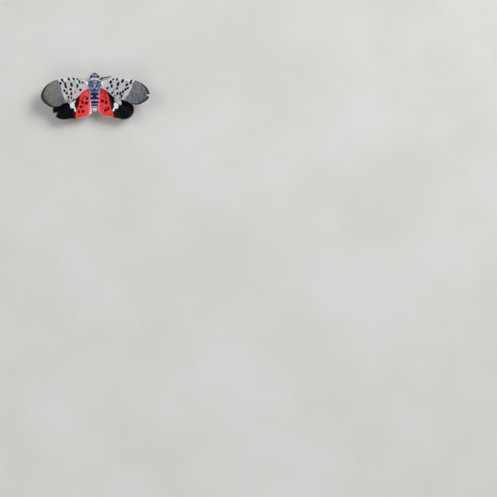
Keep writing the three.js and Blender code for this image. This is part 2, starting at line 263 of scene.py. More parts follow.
# %% [markdown]
# ## Materials
# Every finish is a small tree of shader nodes. The pieces carry painted marks as numbers on their points,
# such as the distance to the nearest spot, and the shader turns them into colour with a ragged edge.
# Pictures could do this too, but distances stay sharp at any size. One short helper adds a node and links
# its inputs, so that each finish reads as a recipe.

# %% A colour, a node and a mix of colours


def colour(red, green, blue):
    """A colour named by its screen values, 0 to 255, as the shader wants it."""
    screen = np.array([red, green, blue]) / 255
    linear = np.where(screen <= 0.04045, screen / 12.92, ((screen + 0.055) / 1.055) ** 2.4)
    return (*linear, 1.0)


def put(tree, kind, inputs=None, **settings):
    """Adds a node. An input that is another node's socket is linked, and any other is set."""
    made = tree.nodes.new("ShaderNode" + kind)
    for key, value in settings.items():
        setattr(made, key, value)
    for key, value in (inputs or {}).items():
        if isinstance(value, bpy.types.NodeSocket):
            tree.links.new(value, made.inputs[key])
        else:
            made.inputs[key].default_value = value
    return made


def mixed(tree, share, first, second, blend="MIX"):
    """The colour between first and second, at share."""
    inputs = {0: share, 6: first, 7: second}
    return put(tree, "Mix", inputs, data_type="RGBA", blend_type=blend).outputs[2]


def times(tree, first, second):
    """The product of two numbers."""
    return put(tree, "Math", {0: first, 1: second}, operation="MULTIPLY").outputs[0]


print("mid grey on the screen, as the shader wants it:", round(colour(128, 128, 128)[0], 3))

# %% Numbers that vary over a surface


def ramp(tree, value, start, end, low=0.0, high=1.0):
    """value's way from start to end, as a number from low to high."""
    inputs = {"Value": value, "From Min": start, "From Max": end, "To Min": low, "To Max": high}
    return put(tree, "MapRange", inputs, interpolation_type="SMOOTHSTEP").outputs[0]


def mark(tree, name):
    """A number that the mesh carries on its points."""
    return put(tree, "Attribute", attribute_name=name).outputs["Fac"]


def tinted(tree, base, tints):
    """base with a colour laid over it for each named mark, in that order."""
    for name, tint in tints.items():
        base = mixed(tree, mark(tree, name), base, colour(*tint))
    return base


def noise(tree, per_mm, detail=3.0, stretch=(1, 1, 1)):
    """Cloudy noise with per_mm lumps to the millimetre."""
    place = put(tree, "TexCoord").outputs["Object"]
    scale = [per_mm * MM_IN_METRE * s for s in stretch]
    place = put(tree, "Mapping", {"Vector": place, "Scale": scale}).outputs[0]
    return put(tree, "TexNoise", {"Vector": place, "Scale": 1.0, "Detail": detail}).outputs[0]


def cells(tree, per_mm, feature="F1"):
    """The distance inside round cells, with per_mm of them to the millimetre."""
    place = put(tree, "TexCoord").outputs["Object"]
    inputs = {"Vector": place, "Scale": per_mm * MM_IN_METRE}
    return put(tree, "TexVoronoi", inputs, feature=feature).outputs["Distance"]


def ragged(tree, name, width=0.05, wobble=0.12, per_mm=3.0):
    """1 inside a mark and 0 outside, with an uneven edge. The mark is a distance in mm."""
    shaken = put(tree, "Math", {0: noise(tree, per_mm), 1: -0.5}, operation="ADD").outputs[0]
    shaken = put(tree, "Math", {0: shaken, 1: wobble, 2: mark(tree, name)}, operation="MULTIPLY_ADD")
    return ramp(tree, shaken.outputs[0], width, -width)


# %% A finish from its recipe


def finish_of(name, roughness=0.6, **sockets):
    """A new material, with its tree and its main shader."""
    made = bpy.data.materials.new(name)
    made.use_nodes = True
    shader = made.node_tree.nodes["Principled BSDF"]
    shader.label = name
    shader.inputs["Roughness"].default_value = roughness
    for key, value in sockets.items():
        shader.inputs[key.replace("_", " ")].default_value = value
    return made, made.node_tree, shader


def wear(tree, shader, base, bump, depth, rough=(0.5, 0.7)):
    """Links a colour, a height in mm and a roughness that follows that height."""
    tree.links.new(base, shader.inputs["Base Color"])
    inputs = {"Height": bump, "Distance": depth * MM, "Strength": 1.0}
    tree.links.new(put(tree, "Bump", inputs).outputs[0], shader.inputs["Normal"])
    tree.links.new(ramp(tree, bump, 0.2, 0.8, *rough), shader.inputs["Roughness"])
    print("finish", shader.label, "is made of", len(tree.nodes), "nodes")


# %% [markdown]
# ## Pieces
# Every piece becomes one object that rides on the frame's only body. Blender's own operators could add it,
# but they depend on what is selected, so the mesh is made from arrays and linked by hand. Its marks are
# stored as attributes of its points, one number for each.

# %% Put a mesh in the scene


def add_piece(name, shell, finish, replaces=(), marks=None, turned=False):
    """Makes an object of points and faces, and lets it ride on the frame. marks go on its points."""
    points, faces = shell
    mesh = bpy.data.meshes.new(name)
    if turned:
        faces = [face[::-1] for face in faces]
    mesh.from_pydata(placed(points).tolist(), [], faces)
    mesh.shade_smooth()
    for key, values in (marks or {}).items():
        values = np.asarray(values, np.float32)
        kind, field = ("FLOAT", "value") if values.ndim == 1 else ("FLOAT_COLOR", "color")
        mesh.attributes.new(key, kind, "POINT").data.foreach_set(field, values.ravel())
    piece = bpy.data.objects.new(name, mesh)
    bpy.context.scene.collection.objects.link(piece)
    mesh.materials.append(finish)
    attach(piece, "root")
    if replaces:
        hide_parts(*replaces)
    print(name, "has", len(mesh.polygons), "faces")
    return piece


# %% [markdown]
# ## How a wing is shaped
# A wing is a sheet strung on ribs. Each rib runs from the front edge to the hind edge, and the last one is
# the outer margin. s runs from the root to the margin and t from the front edge to the hind edge. A wing
# could be cut out of a flat plane, but then veins would cross the grid. Here every line of constant t is a
# vein's course, as in a real wing, where the veins fan out from the root.

# %% The forewing's outline, in mm
FOREWING = {
    # s of each rib, the last of them the margin
    "stations": (0, 0.2, 0.42, 0.66, 1),
    # each rib's front end, hind end and bulge
    "ribs": (
        ((2.3, -0.35), (2.4, 2.6), 0),
        ((6.6, -1.3), (5.4, 4.6), 0),
        ((11.1, -1.75), (8.7, 8.0), 0.3),
        ((16.4, -0.7), (12.4, 9.4), 0.5),
    ),
    "margin": (
        (18.4, 0.05),
        (20.8, 1.5),
        (22.6, 3.5),
        (23.7, 6.3),
        (23.2, 8.6),
        (21.3, 10.5),
        (18.6, 11.8),
        (15.4, 11.2),
    ),
    # t of each main vein
    "veins": (0.05, 0.17, 0.3, 0.43, 0.56, 0.69, 0.82),
}
print("forewing:", len(FOREWING["ribs"]), "ribs and", len(FOREWING["veins"]), "main veins")

# %% The hindwing's outline, in mm
HINDWING = {
    "stations": (0, 0.3, 0.62, 1),
    "ribs": (
        ((2.35, 2.0), (2.2, 3.6), 0.1),
        ((7.0, 3.8), (1.9, 7.2), 0.7),
        ((12.3, 6.8), (1.5, 11.2), 1.6),
    ),
    "margin": (
        (17.3, 10.0),
        (18.6, 12.2),
        (18.2, 14.8),
        (16.3, 16.5),
        (13.6, 17.0),
        (10.4, 16.7),
        (7.7, 16.3),
        (5.0, 15.75),
        (2.9, 15.0),
        (1.25, 14.1),
    ),
    "veins": (0.06, 0.2, 0.34, 0.47, 0.6, 0.73, 0.86),
}
# The right hindwing is shorter behind, so it has a margin of its own.
SHORT_HINDWING = {
    **HINDWING,
    "margin": (
        (16.4, 9.6),
        (17.5, 11.5),
        (17.3, 14.0),
        (15.5, 16.2),
        (12.8, 16.9),
        (10.2, 16.4),
        (7.4, 15.6),
        (5.2, 15.3),
        (3.2, 14.5),
        (1.7, 13.1),
    ),
}
print("hindwing:", len(HINDWING["ribs"]), "ribs and", len(HINDWING["veins"]), "main veins")

# %% How each wing is held
# Each wing is stretched and then turned, in degrees, about the front of its root. A tear is a nick in
# the outer margin: the t of its middle, its half width in t and its depth in s.
POSES = {
    "forewing_left": {"wing": FOREWING, "side": 1, "stretch": (1, 1), "sweep": 0, "tear": None},
    "forewing_right": {
        "wing": FOREWING,
        "side": -1,
        "stretch": (1.03, 0.9),
        "sweep": -0.3,
        "tear": (0.48, 0.036, 0.085),
    },
    "hindwing_left": {
        "wing": HINDWING,
        "side": 1,
        "stretch": (1, 1),
        "sweep": 0,
        "tear": (0.232, 0.045, 0.072),
    },
    "hindwing_right": {"wing": SHORT_HINDWING, "side": -1, "stretch": (1, 1), "sweep": 0, "tear": None},
}
print("wings:", ", ".join(POSES))

# %% How high a wing stands over the floor, in mm
FOREWING_ROOT, FOREWING_RISE, FOREWING_DROOP = 5.0, 4.2, 2.4
FOREWING_CAMBER = 0.45
FOREWING_RIPPLES, RIPPLE_HEIGHT = 7.7, 0.05
HINDWING_ROOT, HINDWING_RISE, HINDWING_DROOP = 4.2, 1.7, 1.1
HINDWING_FOLDS, FOLD_HEIGHT = 4, 0.16
HINDWING_PLEATS, PLEAT_HEIGHT = 15, 0.04  # one pleat for each vein or fork


def forewing_height(s, t):
    """z of the forewing's middle surface: it rises from the root and is cambered."""
    ripple = RIPPLE_HEIGHT * s * np.cos(2 * math.pi * FOREWING_RIPPLES * (t - 0.05))
    camber = FOREWING_CAMBER * np.sin(math.pi * t) * np.sin(2.6 * s)
    return FOREWING_ROOT + FOREWING_RISE * s - FOREWING_DROOP * s * s + camber + ripple


def hindwing_height(s, t):
    """z of the hindwing's middle surface, with the folds that let it shut like a fan."""
    fold = FOLD_HEIGHT * s * np.sin(2 * math.pi * HINDWING_FOLDS * t)
    pleat = PLEAT_HEIGHT * s * np.cos(2 * math.pi * HINDWING_PLEATS * (t - 0.06))
    return HINDWING_ROOT + HINDWING_RISE * s - HINDWING_DROOP * s * s + fold + pleat


print("the forewing's middle stands", round(float(forewing_height(0.5, 0.5)), 2), "mm high")

# %% Any point of a wing
MARGIN_SAMPLES = 400


def margin_point(wing, t):
    """The outer margin at t, by its length."""
    line = smooth_line(wing["margin"], MARGIN_SAMPLES)
    length = np.concatenate([[0], np.cumsum(np.linalg.norm(np.diff(line, axis=0), axis=1))])
    return np.stack([np.interp(t * length[-1], length, line[:, axis]) for axis in (0, 1)], -1)


def rib_point(rib, t):
    """A rib at t: straight, or bulging outwards in an even bow."""
    front, hind, bulge = np.array(rib[0]), np.array(rib[1]), rib[2]
    run = hind - front
    outward = np.array([run[1], -run[0]]) / np.linalg.norm(run)
    return front + t[:, None] * run + outward * (bulge * 4 * t * (1 - t))[:, None]


def wing_point(pose, s, t):
    """Points of the wing's middle surface on the body's scale, in mm."""
    wing = pose["wing"]
    s, t = np.broadcast_arrays(np.asarray(s, float), np.asarray(t, float))
    if pose["tear"]:
        at, half, depth = pose["tear"]
        s = s * (1 - depth * np.clip(1 - np.abs(t - at) / half, 0, 1))
    ribs = np.stack([rib_point(rib, t) for rib in wing["ribs"]] + [margin_point(wing, t)])
    root = np.array(wing["ribs"][0][0])
    flat = (along(wing["stations"], ribs, s) - root) * pose["stretch"]
    turn = math.radians(pose["sweep"])
    spin = np.array([[math.cos(turn), math.sin(turn)], [-math.sin(turn), math.cos(turn)]])
    flat = flat @ spin + root
    height = forewing_height if wing is FOREWING else hindwing_height
    return np.column_stack([flat[:, 0] * pose["side"], flat[:, 1], height(s, t)])


ends = wing_point(POSES["forewing_left"], [0, 1], [0.5, 0.5])
print("a forewing is", round(float(np.linalg.norm(ends[1] - ends[0])), 1), "mm long")

# %% A wing's membrane as a thin closed plate
MEMBRANE = 0.06  # mm thick


def membrane(pose, rows, columns):
    """The plate's points and faces, with s, t and the distance to the outer margin."""
    s, t = np.meshgrid(np.linspace(0, 1, rows), np.linspace(0, 1, columns), indexing="ij")
    s, t = s.ravel(), t.ravel()
    middle = wing_point(pose, s, t)
    at = np.arange(rows * columns).reshape(rows, columns)
    quads = np.stack([at[:-1, :-1], at[1:, :-1], at[1:, 1:], at[:-1, 1:]], -1).reshape(-1, 4)
    rim = np.concatenate([at[0], at[1:, -1], at[-1, -2::-1], at[-2:0:-1, 0]])
    after = np.roll(rim, -1)
    under = len(middle)
    sides = np.stack([rim, after, after + under, rim + under], -1)
    faces = np.concatenate([quads, quads[:, ::-1] + under, sides]).tolist()
    lift = np.array([0, 0, MEMBRANE / 2])
    tips = np.repeat(middle.reshape(rows, columns, 3)[-1][None], rows, axis=0).reshape(-1, 3)
    return {
        "shell": (np.concatenate([middle + lift, middle - lift]), faces),
        "s": np.tile(s, 2),
        "t": np.tile(t, 2),
        "to_margin": np.tile(np.linalg.norm(tips - middle, axis=1), 2),
    }


coarse = membrane(POSES["forewing_left"], 5, 4)
print("a membrane of 5 by 4 points has", len(coarse["shell"][1]), "faces")

# %% [markdown]
# ## Marks on the wings
# The spots are read off the photograph one by one: the pixel of each spot's middle, its width and
# height in pixels and how its long axis leans, in degrees, positive when its top leans to the right. They
# could be strewn at random, but their pattern is what the species is known by. Each point of a wing then
# gets its distance to the nearest spot.

# %% Distances to ovals and lines, in mm


def oval(pixels, across, down, width, height, lean=0):
    """Distance to an oval's edge, negative inside it."""
    turn = math.radians(lean)
    x, y = pixels[0] - across, pixels[1] - down
    u = x * math.cos(turn) + y * math.sin(turn)
    v = y * math.cos(turn) - x * math.sin(turn)
    share = np.hypot(u / width, v / height) * 2
    return (share - 1) * min(width, height) / 2 * MM_PER_PIXEL


def nearest(pixels, ovals, grown=0.0):
    """Distance to the nearest of several ovals, each grown by some pixels all over."""
    bigger = [(x, y, wide + grown, tall + grown, lean) for x, y, wide, tall, lean in ovals]
    return np.min([oval(pixels, *each) for each in bigger], axis=0)


def beyond(pixels, line, side):
    """Distance past a line from top to bottom, positive on the side away from the body."""
    across, down = np.array(line, float).T
    return (np.interp(pixels[1], down, across) - pixels[0]) * side * MM_PER_PIXEL


trial = oval((np.array([10.0]), np.array([5.0])), 10.0, 5.0, 4.0, 2.0)
print("the middle of an oval two pixels high is", -round(float(trial[0]), 3), "mm inside its edge")

# %% Spots of the forewings, in photo pixels
SPOT_BLUR = 0.75  # the photograph's softness hides this much of each spot
FOREWING_SPOTS = {
    "forewing_left": (
        (62.2, 80.0, 1.7, 3.6, -35),
        (68.8, 79.1, 1.6, 3.0, -32),
        (73.7, 78.9, 1.3, 2.6, -30),
        (77.6, 78.9, 1.3, 2.1, -10),
        (60.5, 83.4, 1.5, 2.6, -15),
        (65.3, 84.3, 1.6, 3.2, -8),
        (65.9, 86.7, 1.6, 2.9, -20),
        (71.6, 84.7, 1.9, 4.2, -12),
        (77.5, 86.0, 1.4, 4.0, 0),
        (79.5, 81.9, 1.5, 2.9, -20),
        (82.6, 82.4, 1.3, 1.7, 0),
        (64.6, 90.7, 1.6, 2.2, -15),
        (67.0, 93.3, 1.7, 2.4, -25),
        (70.8, 89.3, 1.6, 2.6, -10),
        (71.3, 93.8, 1.5, 2.9, 5),
        (80.4, 89.9, 1.9, 2.1, 0),
        (68.6, 97.0, 1.4, 2.3, 10),
        (71.5, 97.7, 1.3, 1.5, 0),
        (73.7, 100.2, 1.5, 3.6, 40),
    ),
    "forewing_right": (
        (110.7, 82.0, 1.9, 3.2, 20),
        (111.7, 86.0, 1.5, 3.2, 5),
        (107.6, 88.0, 1.6, 2.0, 40),
        (118.0, 84.0, 1.9, 4.0, 20),
        (122.5, 80.8, 1.8, 3.9, 25),
        (116.9, 79.4, 1.5, 2.0, 30),
        (113.2, 79.2, 1.4, 1.7, 30),
        (126.6, 84.6, 1.9, 2.8, 35),
        (130.5, 82.6, 1.8, 2.3, 10),
        (131.4, 80.7, 1.3, 2.0, 40),
        (127.8, 87.9, 1.4, 2.1, 30),
        (125.4, 89.2, 1.5, 2.4, 10),
        (122.9, 91.4, 1.7, 2.8, 25),
        (120.2, 93.3, 1.6, 3.0, 10),
        (117.3, 93.5, 1.4, 2.8, 0),
        (121.5, 96.0, 1.5, 2.5, 5),
        (116.9, 88.4, 1.8, 2.3, 10),
        (112.3, 92.7, 1.3, 2.8, 50),
    ),
}
print("black spots:", [len(spots) for spots in FOREWING_SPOTS.values()])

# %% Faint spots of the forewings, and where the netted tip begins
FAINT_SPOTS = {
    "forewing_left": (
        (58.1, 80.7, 1.1, 2.0, -30),
        (81.4, 79.0, 1.0, 1.4, 0),
        (75.1, 91.7, 1.4, 1.9, 10),
        (68.5, 100.4, 1.3, 1.6, 0),
        (63.8, 82.0, 0.8, 2.6, -35),
    ),
    "forewing_right": (
        (105.5, 90.4, 1.3, 1.0, 0),
        (107.4, 79.2, 1.1, 1.2, 0),
        (126.4, 81.6, 1.8, 0.8, 0),
        (114.0, 90.1, 1.4, 1.9, 10),
        (114.6, 95.6, 1.4, 1.5, 0),
        (119.6, 97.9, 1.4, 1.1, 0),
    ),
}
# The border between each forewing's pale part and its netted tip, from the front edge back
TIP_LINES = {
    "forewing_left": (
        (56.6, 79.4),
        (58.4, 81.4),
        (60.4, 84.6),
        (61.1, 89.6),
        (62.6, 94.9),
        (65.0, 99.3),
        (67.5, 102.8),
    ),
    "forewing_right": (
        (135.4, 79.8),
        (133.2, 82.6),
        (131.4, 87.8),
        (129.3, 92.6),
        (126.8, 96.3),
        (123.6, 100.4),
    ),
}
print("faint spots:", [len(spots) for spots in FAINT_SPOTS.values()])

# %% [markdown]
# ## The forewing's finish
# The forewing is leathery: pale grey with black spots over its inner part, and a dark grey tip. Bluish,
# sandy, rosy, greenish and purplish tints lie over both. The spots could be small pieces of their own, but
# they are only colour in the real membrane. So one shader starts from a clouded grey, lays each tint over
# it by a mark, and puts the spots on last. The veins get the same marks in paler colours.

# %% The edges of the wings' marks
# Half the width of a soft edge and how much noise shakes it, both in mm, and the noise's lumps to the mm
TIP_EDGE = (0.25, 0.9, 1.6)
FAINT_EDGE = (0.08, 0.36, 1.4)
SPOT_EDGE = (0.05, 0.36, 1.4)
WHITE_EDGE = (0.08, 0.5, 1.6)
print("a spot's edge is", 2 * SPOT_EDGE[0], "mm wide")

# %% The finish of the forewing's membrane
made, tree, shader = finish_of("forewing_membrane", Specular_IOR_Level=0.2)
FOREWING_FINISH = made
cloud = ramp(tree, noise(tree, 0.5), 0.35, 0.65)
pale = mixed(tree, cloud, colour(164, 173, 170), colour(201, 198, 204))
tints = {
    "bluish": (190, 202, 220),
    "sandy": (210, 195, 176),
    # The near-white lilac is the wing's own tint, and along the front edge it is also a painted highlight.
    "lilac_and_painted_highlight": (238, 230, 246),
    "chalky": (246, 244, 246),
    "rosy": (216, 172, 184),
}
pale = tinted(tree, pale, tints)
tip = mixed(tree, noise(tree, 1.0), colour(68, 64, 63), colour(80, 76, 72))
tip = tinted(tree, tip, {"cool": (60, 72, 90), "olive": (88, 100, 74), "plum": (98, 84, 94)})
# Short streaks from front to back darken and lighten the tip.
streak = ramp(tree, noise(tree, 1.0, 1.0, (1, 0.3, 1)), 0.42, 0.58)
streak = mixed(tree, streak, (0.5, 0.5, 0.5, 1), (1.45, 1.45, 1.45, 1))
tip = mixed(tree, 1.0, tip, streak, "MULTIPLY")
tip = tinted(tree, tip, {"rim": (47, 41, 44)})
base = mixed(tree, ragged(tree, "tip", *TIP_EDGE), pale, tip)
faint = times(tree, ragged(tree, "faint", *FAINT_EDGE), 0.8)
base = mixed(tree, faint, base, colour(30, 26, 34))
base = mixed(tree, ragged(tree, "spot", *SPOT_EDGE), base, colour(3, 3, 5))
wear(tree, shader, base, noise(tree, 4.0), 0.03, (0.5, 0.68))

# %% The finish of the forewing's veins
made, tree, shader = finish_of("forewing_veins", Specular_IOR_Level=0.25)
FOREWING_VEINS = made
pale = mixed(tree, noise(tree, 1.0), colour(180, 176, 176), colour(214, 208, 212))
pale = tinted(tree, pale, {"rosy": (228, 176, 184)})
grey = mixed(tree, noise(tree, 1.5), colour(166, 164, 158), colour(208, 205, 198))
grey = tinted(tree, grey, {"cool": (130, 138, 156), "rim": (66, 52, 56)})
vein = mixed(tree, ragged(tree, "tip", *TIP_EDGE), pale, grey)
vein = mixed(tree, ragged(tree, "spot", *SPOT_EDGE), vein, colour(7, 7, 9))
wear(tree, shader, vein, noise(tree, 5.0), 0.02, (0.4, 0.6))

# %% [markdown]
# ## The forewing's veins
# Seven main veins fan out from the root, each with a fork, and a fine net fills the tip. The net could be
# only a bump, but it shows in side light, so every vein is a real tube that stands out on both faces of
# the membrane. Its course is a line of s and t, so it follows the wing's ripples and its torn edge.

# %% Main veins, forks and the rim, as lines of s and t
FORK_AT = (0.22, 0.62)  # s where a fork leaves its vein and where it runs level with it
VEIN_STEP = 0.01  # in s
RIM_STEPS = 160
MAIN_VEIN = (0.095, 0.045)  # radius in mm at its start and at its end
FORK = (0.07, 0.04)


def long_veins(wing):
    """The main veins and, half way between them, the forks that leave them."""
    lines = []
    whole = np.arange(0, 1 + VEIN_STEP / 2, VEIN_STEP)
    for i, vein in enumerate(wing["veins"]):
        lines.append((whole, np.full(len(whole), vein), *MAIN_VEIN))
        after = (wing["veins"] + (1.0,))[i + 1]
        fork = whole[whole >= FORK_AT[0]]
        course = vein + (after - vein) * 0.5 * eased(fork, *FORK_AT)
        lines.append((fork, course, *FORK))
    return lines


def rim_lines(radius):
    """The thick vein that borders the wing, along its front, its margin and its hind edge."""
    run, rest = np.linspace(0.02, 1, RIM_STEPS), np.linspace(1, 0.02, RIM_STEPS)
    one, zero = np.ones(RIM_STEPS), np.zeros(RIM_STEPS)
    return [
        (run, zero, radius * 1.4, radius),
        (one, np.linspace(0, 1, RIM_STEPS), radius, radius),
        (rest, one, radius, radius),
    ]


print("main veins and forks of a forewing:", len(long_veins(FOREWING)))

# %% Tubes along such lines
TUBE_SIDES = 5
VEIN_TALL = 1.5  # a vein's height over its width


def vein_mesh(pose, lines):
    """Tubes along lines of s and t. Each line has a radius at its start and at its end."""
    shells = []
    for s, t, first, last in lines:
        path = wing_point(pose, s, t)
        shells.append(tube(path, np.linspace(first, last, len(path)), TUBE_SIDES, VEIN_TALL))
    return merged(shells)


def on_tubes(values):
    """A value at each point of the tubes, from its values along their lines."""
    return np.concatenate([np.append(np.repeat(each, TUBE_SIDES), each[[0, -1]]) for each in values])


trial = vein_mesh(POSES["forewing_left"], long_veins(FOREWING))
print("as tubes they have", len(trial[1]), "faces")

# %% The net of the tip
FINE_VEINS = np.arange(0.015, 0.99, 0.027)  # t of each
FINE_VEIN = (0.042, 0.038)
CROSS_VEIN = (0.06, 0.06)
NET_STEP = 0.8  # mm between the cross-veins of the tip
PALE_STEP = 1.1  # mm between those of the pale part
PALE_EVERY = 3  # there they start at every third fine vein and reach to the next third one
PATH_STEPS = 140
JITTER = 0.05  # of a step, so that the rows of cross-veins are a little out of line
LEAN = 0.002  # in s, so that no cross-vein is quite square to its veins
rng = np.random.default_rng(7)


def net_lines(pose, name):
    """Fine veins over the tip, cross-veins in rows beside the margin, and a few over the pale part."""
    lines = []
    s = np.linspace(0, 1, PATH_STEPS)
    spacing = FINE_VEINS[1] - FINE_VEINS[0]
    for i, t in enumerate(FINE_VEINS):
        path = wing_point(pose, s, np.full(len(s), t))
        length = np.concatenate([[0], np.cumsum(np.linalg.norm(np.diff(path, axis=0), axis=1))])
        in_tip = beyond(seen_at(path), TIP_LINES[name], pose["side"]) > 0.1
        start = s[np.argmax(in_tip)]
        kept = s[s >= start]
        lines.append((kept, np.full(len(kept), t), *FINE_VEIN))
        begin, end = np.interp(start, s, length), length[-1]
        marks = np.arange(end - NET_STEP * 0.6, begin, -NET_STEP)
        marks = marks + rng.normal(0, NET_STEP * JITTER, len(marks))
        if i % PALE_EVERY == 0:
            marks = np.append(marks, np.arange(3 + rng.random(), begin, PALE_STEP))
        for at in np.interp(marks, length, s):
            reach = spacing if at >= start else spacing * PALE_EVERY
            cross = np.array([at, at + rng.normal(0, LEAN)])
            lines.append((cross, np.array([t, min(t + reach, 1)]), *CROSS_VEIN))
    return lines


print("fine veins in the net of each tip:", len(FINE_VEINS))

# %% [markdown]
# ## Tints of the forewings
# Real wings are uneven: bluish or chalky near the root, rosy along the hind edge, greenish and purplish at
# the tip. Noise alone could cloud them, but then the tints would fall anywhere. So each is a soft oval, or
# a range of s and t, that ends up as a number from 0 to 1 on the points.

# %% Where the tints lie, in photo pixels
ROSY = {"forewing_left": 0.85, "forewing_right": 0.35}  # along the hind edge, near the root
TIP_COOL = {"forewing_left": 0.1, "forewing_right": 0.7}  # how bluish the whole tip is
TINTS = {
    # the name of the mark, its strength, then ovals in photo pixels
    "forewing_left": (
        ("bluish", 0.8, ((81.0, 86.8, 4.6, 3.6, 0), (85.0, 85.4, 3.6, 2.4, 0))),
        (
            "chalky",
            0.9,
            ((83.2, 80.3, 3.0, 2.2, 0), (79.6, 78.9, 1.8, 1.8, 0), (77.2, 82.0, 1.8, 2.2, 0)),
        ),
        ("rosy", 0.7, ((81.2, 80.9, 1.4, 2.2, 0), (85.2, 88.0, 4.0, 2.0, -20))),
        ("olive", 0.75, ((51.5, 89.5, 8.0, 9.0, 0), (53.0, 100.5, 7.0, 5.0, 0))),
        ("plum", 0.7, ((48.5, 97.0, 9.0, 4.5, 0),)),
        ("cool", 0.75, ((61.0, 101.0, 9.0, 9.0, 0), (56.0, 102.0, 6.0, 6.0, 0))),
    ),
    "forewing_right": (
        ("bluish", 0.7, ((103.6, 84.0, 3.0, 5.0, 0), (110.8, 89.4, 4.0, 3.2, 0))),
        ("bluish", 0.45, ((118.0, 86.0, 20.0, 10.0, 0),)),
        (
            "chalky",
            0.8,
            ((105.2, 80.5, 3.0, 2.0, 0), (109.6, 79.8, 4.0, 1.8, 0), (103.0, 85.8, 2.0, 3.0, 0)),
        ),
        ("lilac_and_painted_highlight", 0.3, ((106.0, 84.4, 5.0, 6.0, 0),)),
        ("rosy", 0.3, ((107.4, 85.4, 3.4, 5.0, 0),)),
        ("sandy", 0.8, ((107.0, 91.2, 10.0, 3.2, 38),)),
        ("olive", 0.6, ((128.0, 97.5, 4.0, 5.0, 0),)),
        ("plum", 0.75, ((138.5, 86.5, 11.0, 11.0, 0), (146.0, 92.0, 5.0, 6.0, 0))),
    ),
}
print("tints:", [len(tints) for tints in TINTS.values()])

# %% The marks on a forewing's points
TINT_SOFTNESS = 0.28  # mm on each side of a tint's edge
TIP_SOFTNESS = 0.9


def forewing_paint(name, points, s, t, to_margin):
    """The marks on a forewing's points."""
    pixels = seen_at(points)
    paint = {
        "spot": nearest(pixels, FOREWING_SPOTS[name], SPOT_BLUR),
        "faint": nearest(pixels, FAINT_SPOTS[name], SPOT_BLUR),
        "tip": -beyond(pixels, TIP_LINES[name], POSES[name]["side"]),
        # Along the front edge a near-white lilac: partly the wing's own tint, partly a painted highlight.
        "lilac_and_painted_highlight": eased(t, 0.2, 0.03) * eased(s, 0.15, 0.35),
        "rosy": ROSY[name] * eased(t, 0.76, 0.92) * eased(s, 0.46, 0.32),
        "rim": np.maximum(
            eased(to_margin, 1.35, 0.55),
            eased(s, 0.7, 0.82) * np.maximum(eased(t, 0.075, 0.03), eased(t, 0.95, 0.98)),
        ),
        "cool": np.full(len(s), TIP_COOL[name]),
    }
    for tint, strength, ovals in TINTS[name]:
        soft = TIP_SOFTNESS if tint in ("olive", "plum", "cool") else TINT_SOFTNESS
        inside = strength * eased(nearest(pixels, ovals), soft, -soft)
        paint[tint] = np.maximum(paint.get(tint, 0), inside)
    return paint


paint = forewing_paint("forewing_left", coarse["shell"][0], coarse["s"], coarse["t"], coarse["to_margin"])
print("marks of a forewing:", ", ".join(paint))

# %% [markdown]
# ## The forewings
# Each forewing is a thin membrane with its veins as a second piece. The two could be one mesh with two
# materials, but apart each can be looked at and changed alone, and only the membrane has to replace the
# wing's solid. The plate of the right wing is mirrored, so its faces are turned to look outwards again.

# %% Build both forewings
FOREWING_GRID = (200, 120)  # points from root to margin, and from the front edge to the hind edge
FOREWING_RIM = 0.07
FOREWING_LENGTH = 20  # mm, to turn s into a distance from the margin

for name in ("forewing_left", "forewing_right"):
    pose = POSES[name]
    plate = membrane(pose, *FOREWING_GRID)
    paint = forewing_paint(name, plate["shell"][0], plate["s"], plate["t"], plate["to_margin"])
    add_piece(
        name,
        plate["shell"],
        FOREWING_FINISH,
        replaces=[name],
        marks=paint,
        turned=pose["side"] < 0,
    )
    lines = long_veins(FOREWING) + rim_lines(FOREWING_RIM) + net_lines(pose, name)
    print(name, "has", len(lines), "veins, with forks and cross-veins")
    net = vein_mesh(pose, lines)
    s, t = (on_tubes([line[which] for line in lines]) for which in (0, 1))
    paint = forewing_paint(name, net[0], s, t, (1 - s) * FOREWING_LENGTH)
    add_piece(name + "_veins", net, FOREWING_VEINS, marks=paint)

# %% [markdown]
# ## Marks of the hindwings
# The hindwing is a softer fan: red with dark spots near the body, then a dark stripe of black pigment and
# painted shade of a fold, a white band and a black outer part with a thin pale fringe. The borders could be
# curves cut into the mesh, but they are blurred in the real wing. So each is a line or an oval read off the
# photograph, and the points carry their distances to it.

# %% Spots of the hindwings, in photo pixels
RED_SPOT_BLUR = 1.1  # the photograph hides more of a dark spot on the red
RED_SPOTS = {
    "hindwing_left": (
        (82.3, 102.1, 1.6, 3.4, -30),
        (87.0, 98.4, 1.7, 2.2, 10),
        (86.5, 102.9, 3.0, 2.3, 10),
        (80.9, 106.9, 2.0, 1.9, 0),
        (83.0, 111.0, 1.9, 2.4, 0),
        (78.9, 111.6, 1.7, 1.7, 0),
    ),
    "hindwing_right": (
        (102.4, 100.9, 2.6, 2.3, 0),
        (106.3, 102.2, 1.7, 3.3, 25),
        (108.2, 108.2, 1.7, 2.4, 20),
        (105.6, 110.1, 2.8, 1.9, -20),
    ),
}
DIM_SPOTS = {
    "hindwing_left": ((83.4, 97.4, 1.5, 2.1, 0), (79.6, 96.4, 1.5, 1.6, 0), (85.2, 96.2, 2.4, 0.9, 20)),
    "hindwing_right": ((105.4, 97.8, 1.3, 2.0, 0), (103.4, 96.8, 1.2, 1.3, 0), (105.4, 94.3, 1.5, 1.2, 0)),
}
print("spots on the red:", [len(spots) for spots in RED_SPOTS.values()])

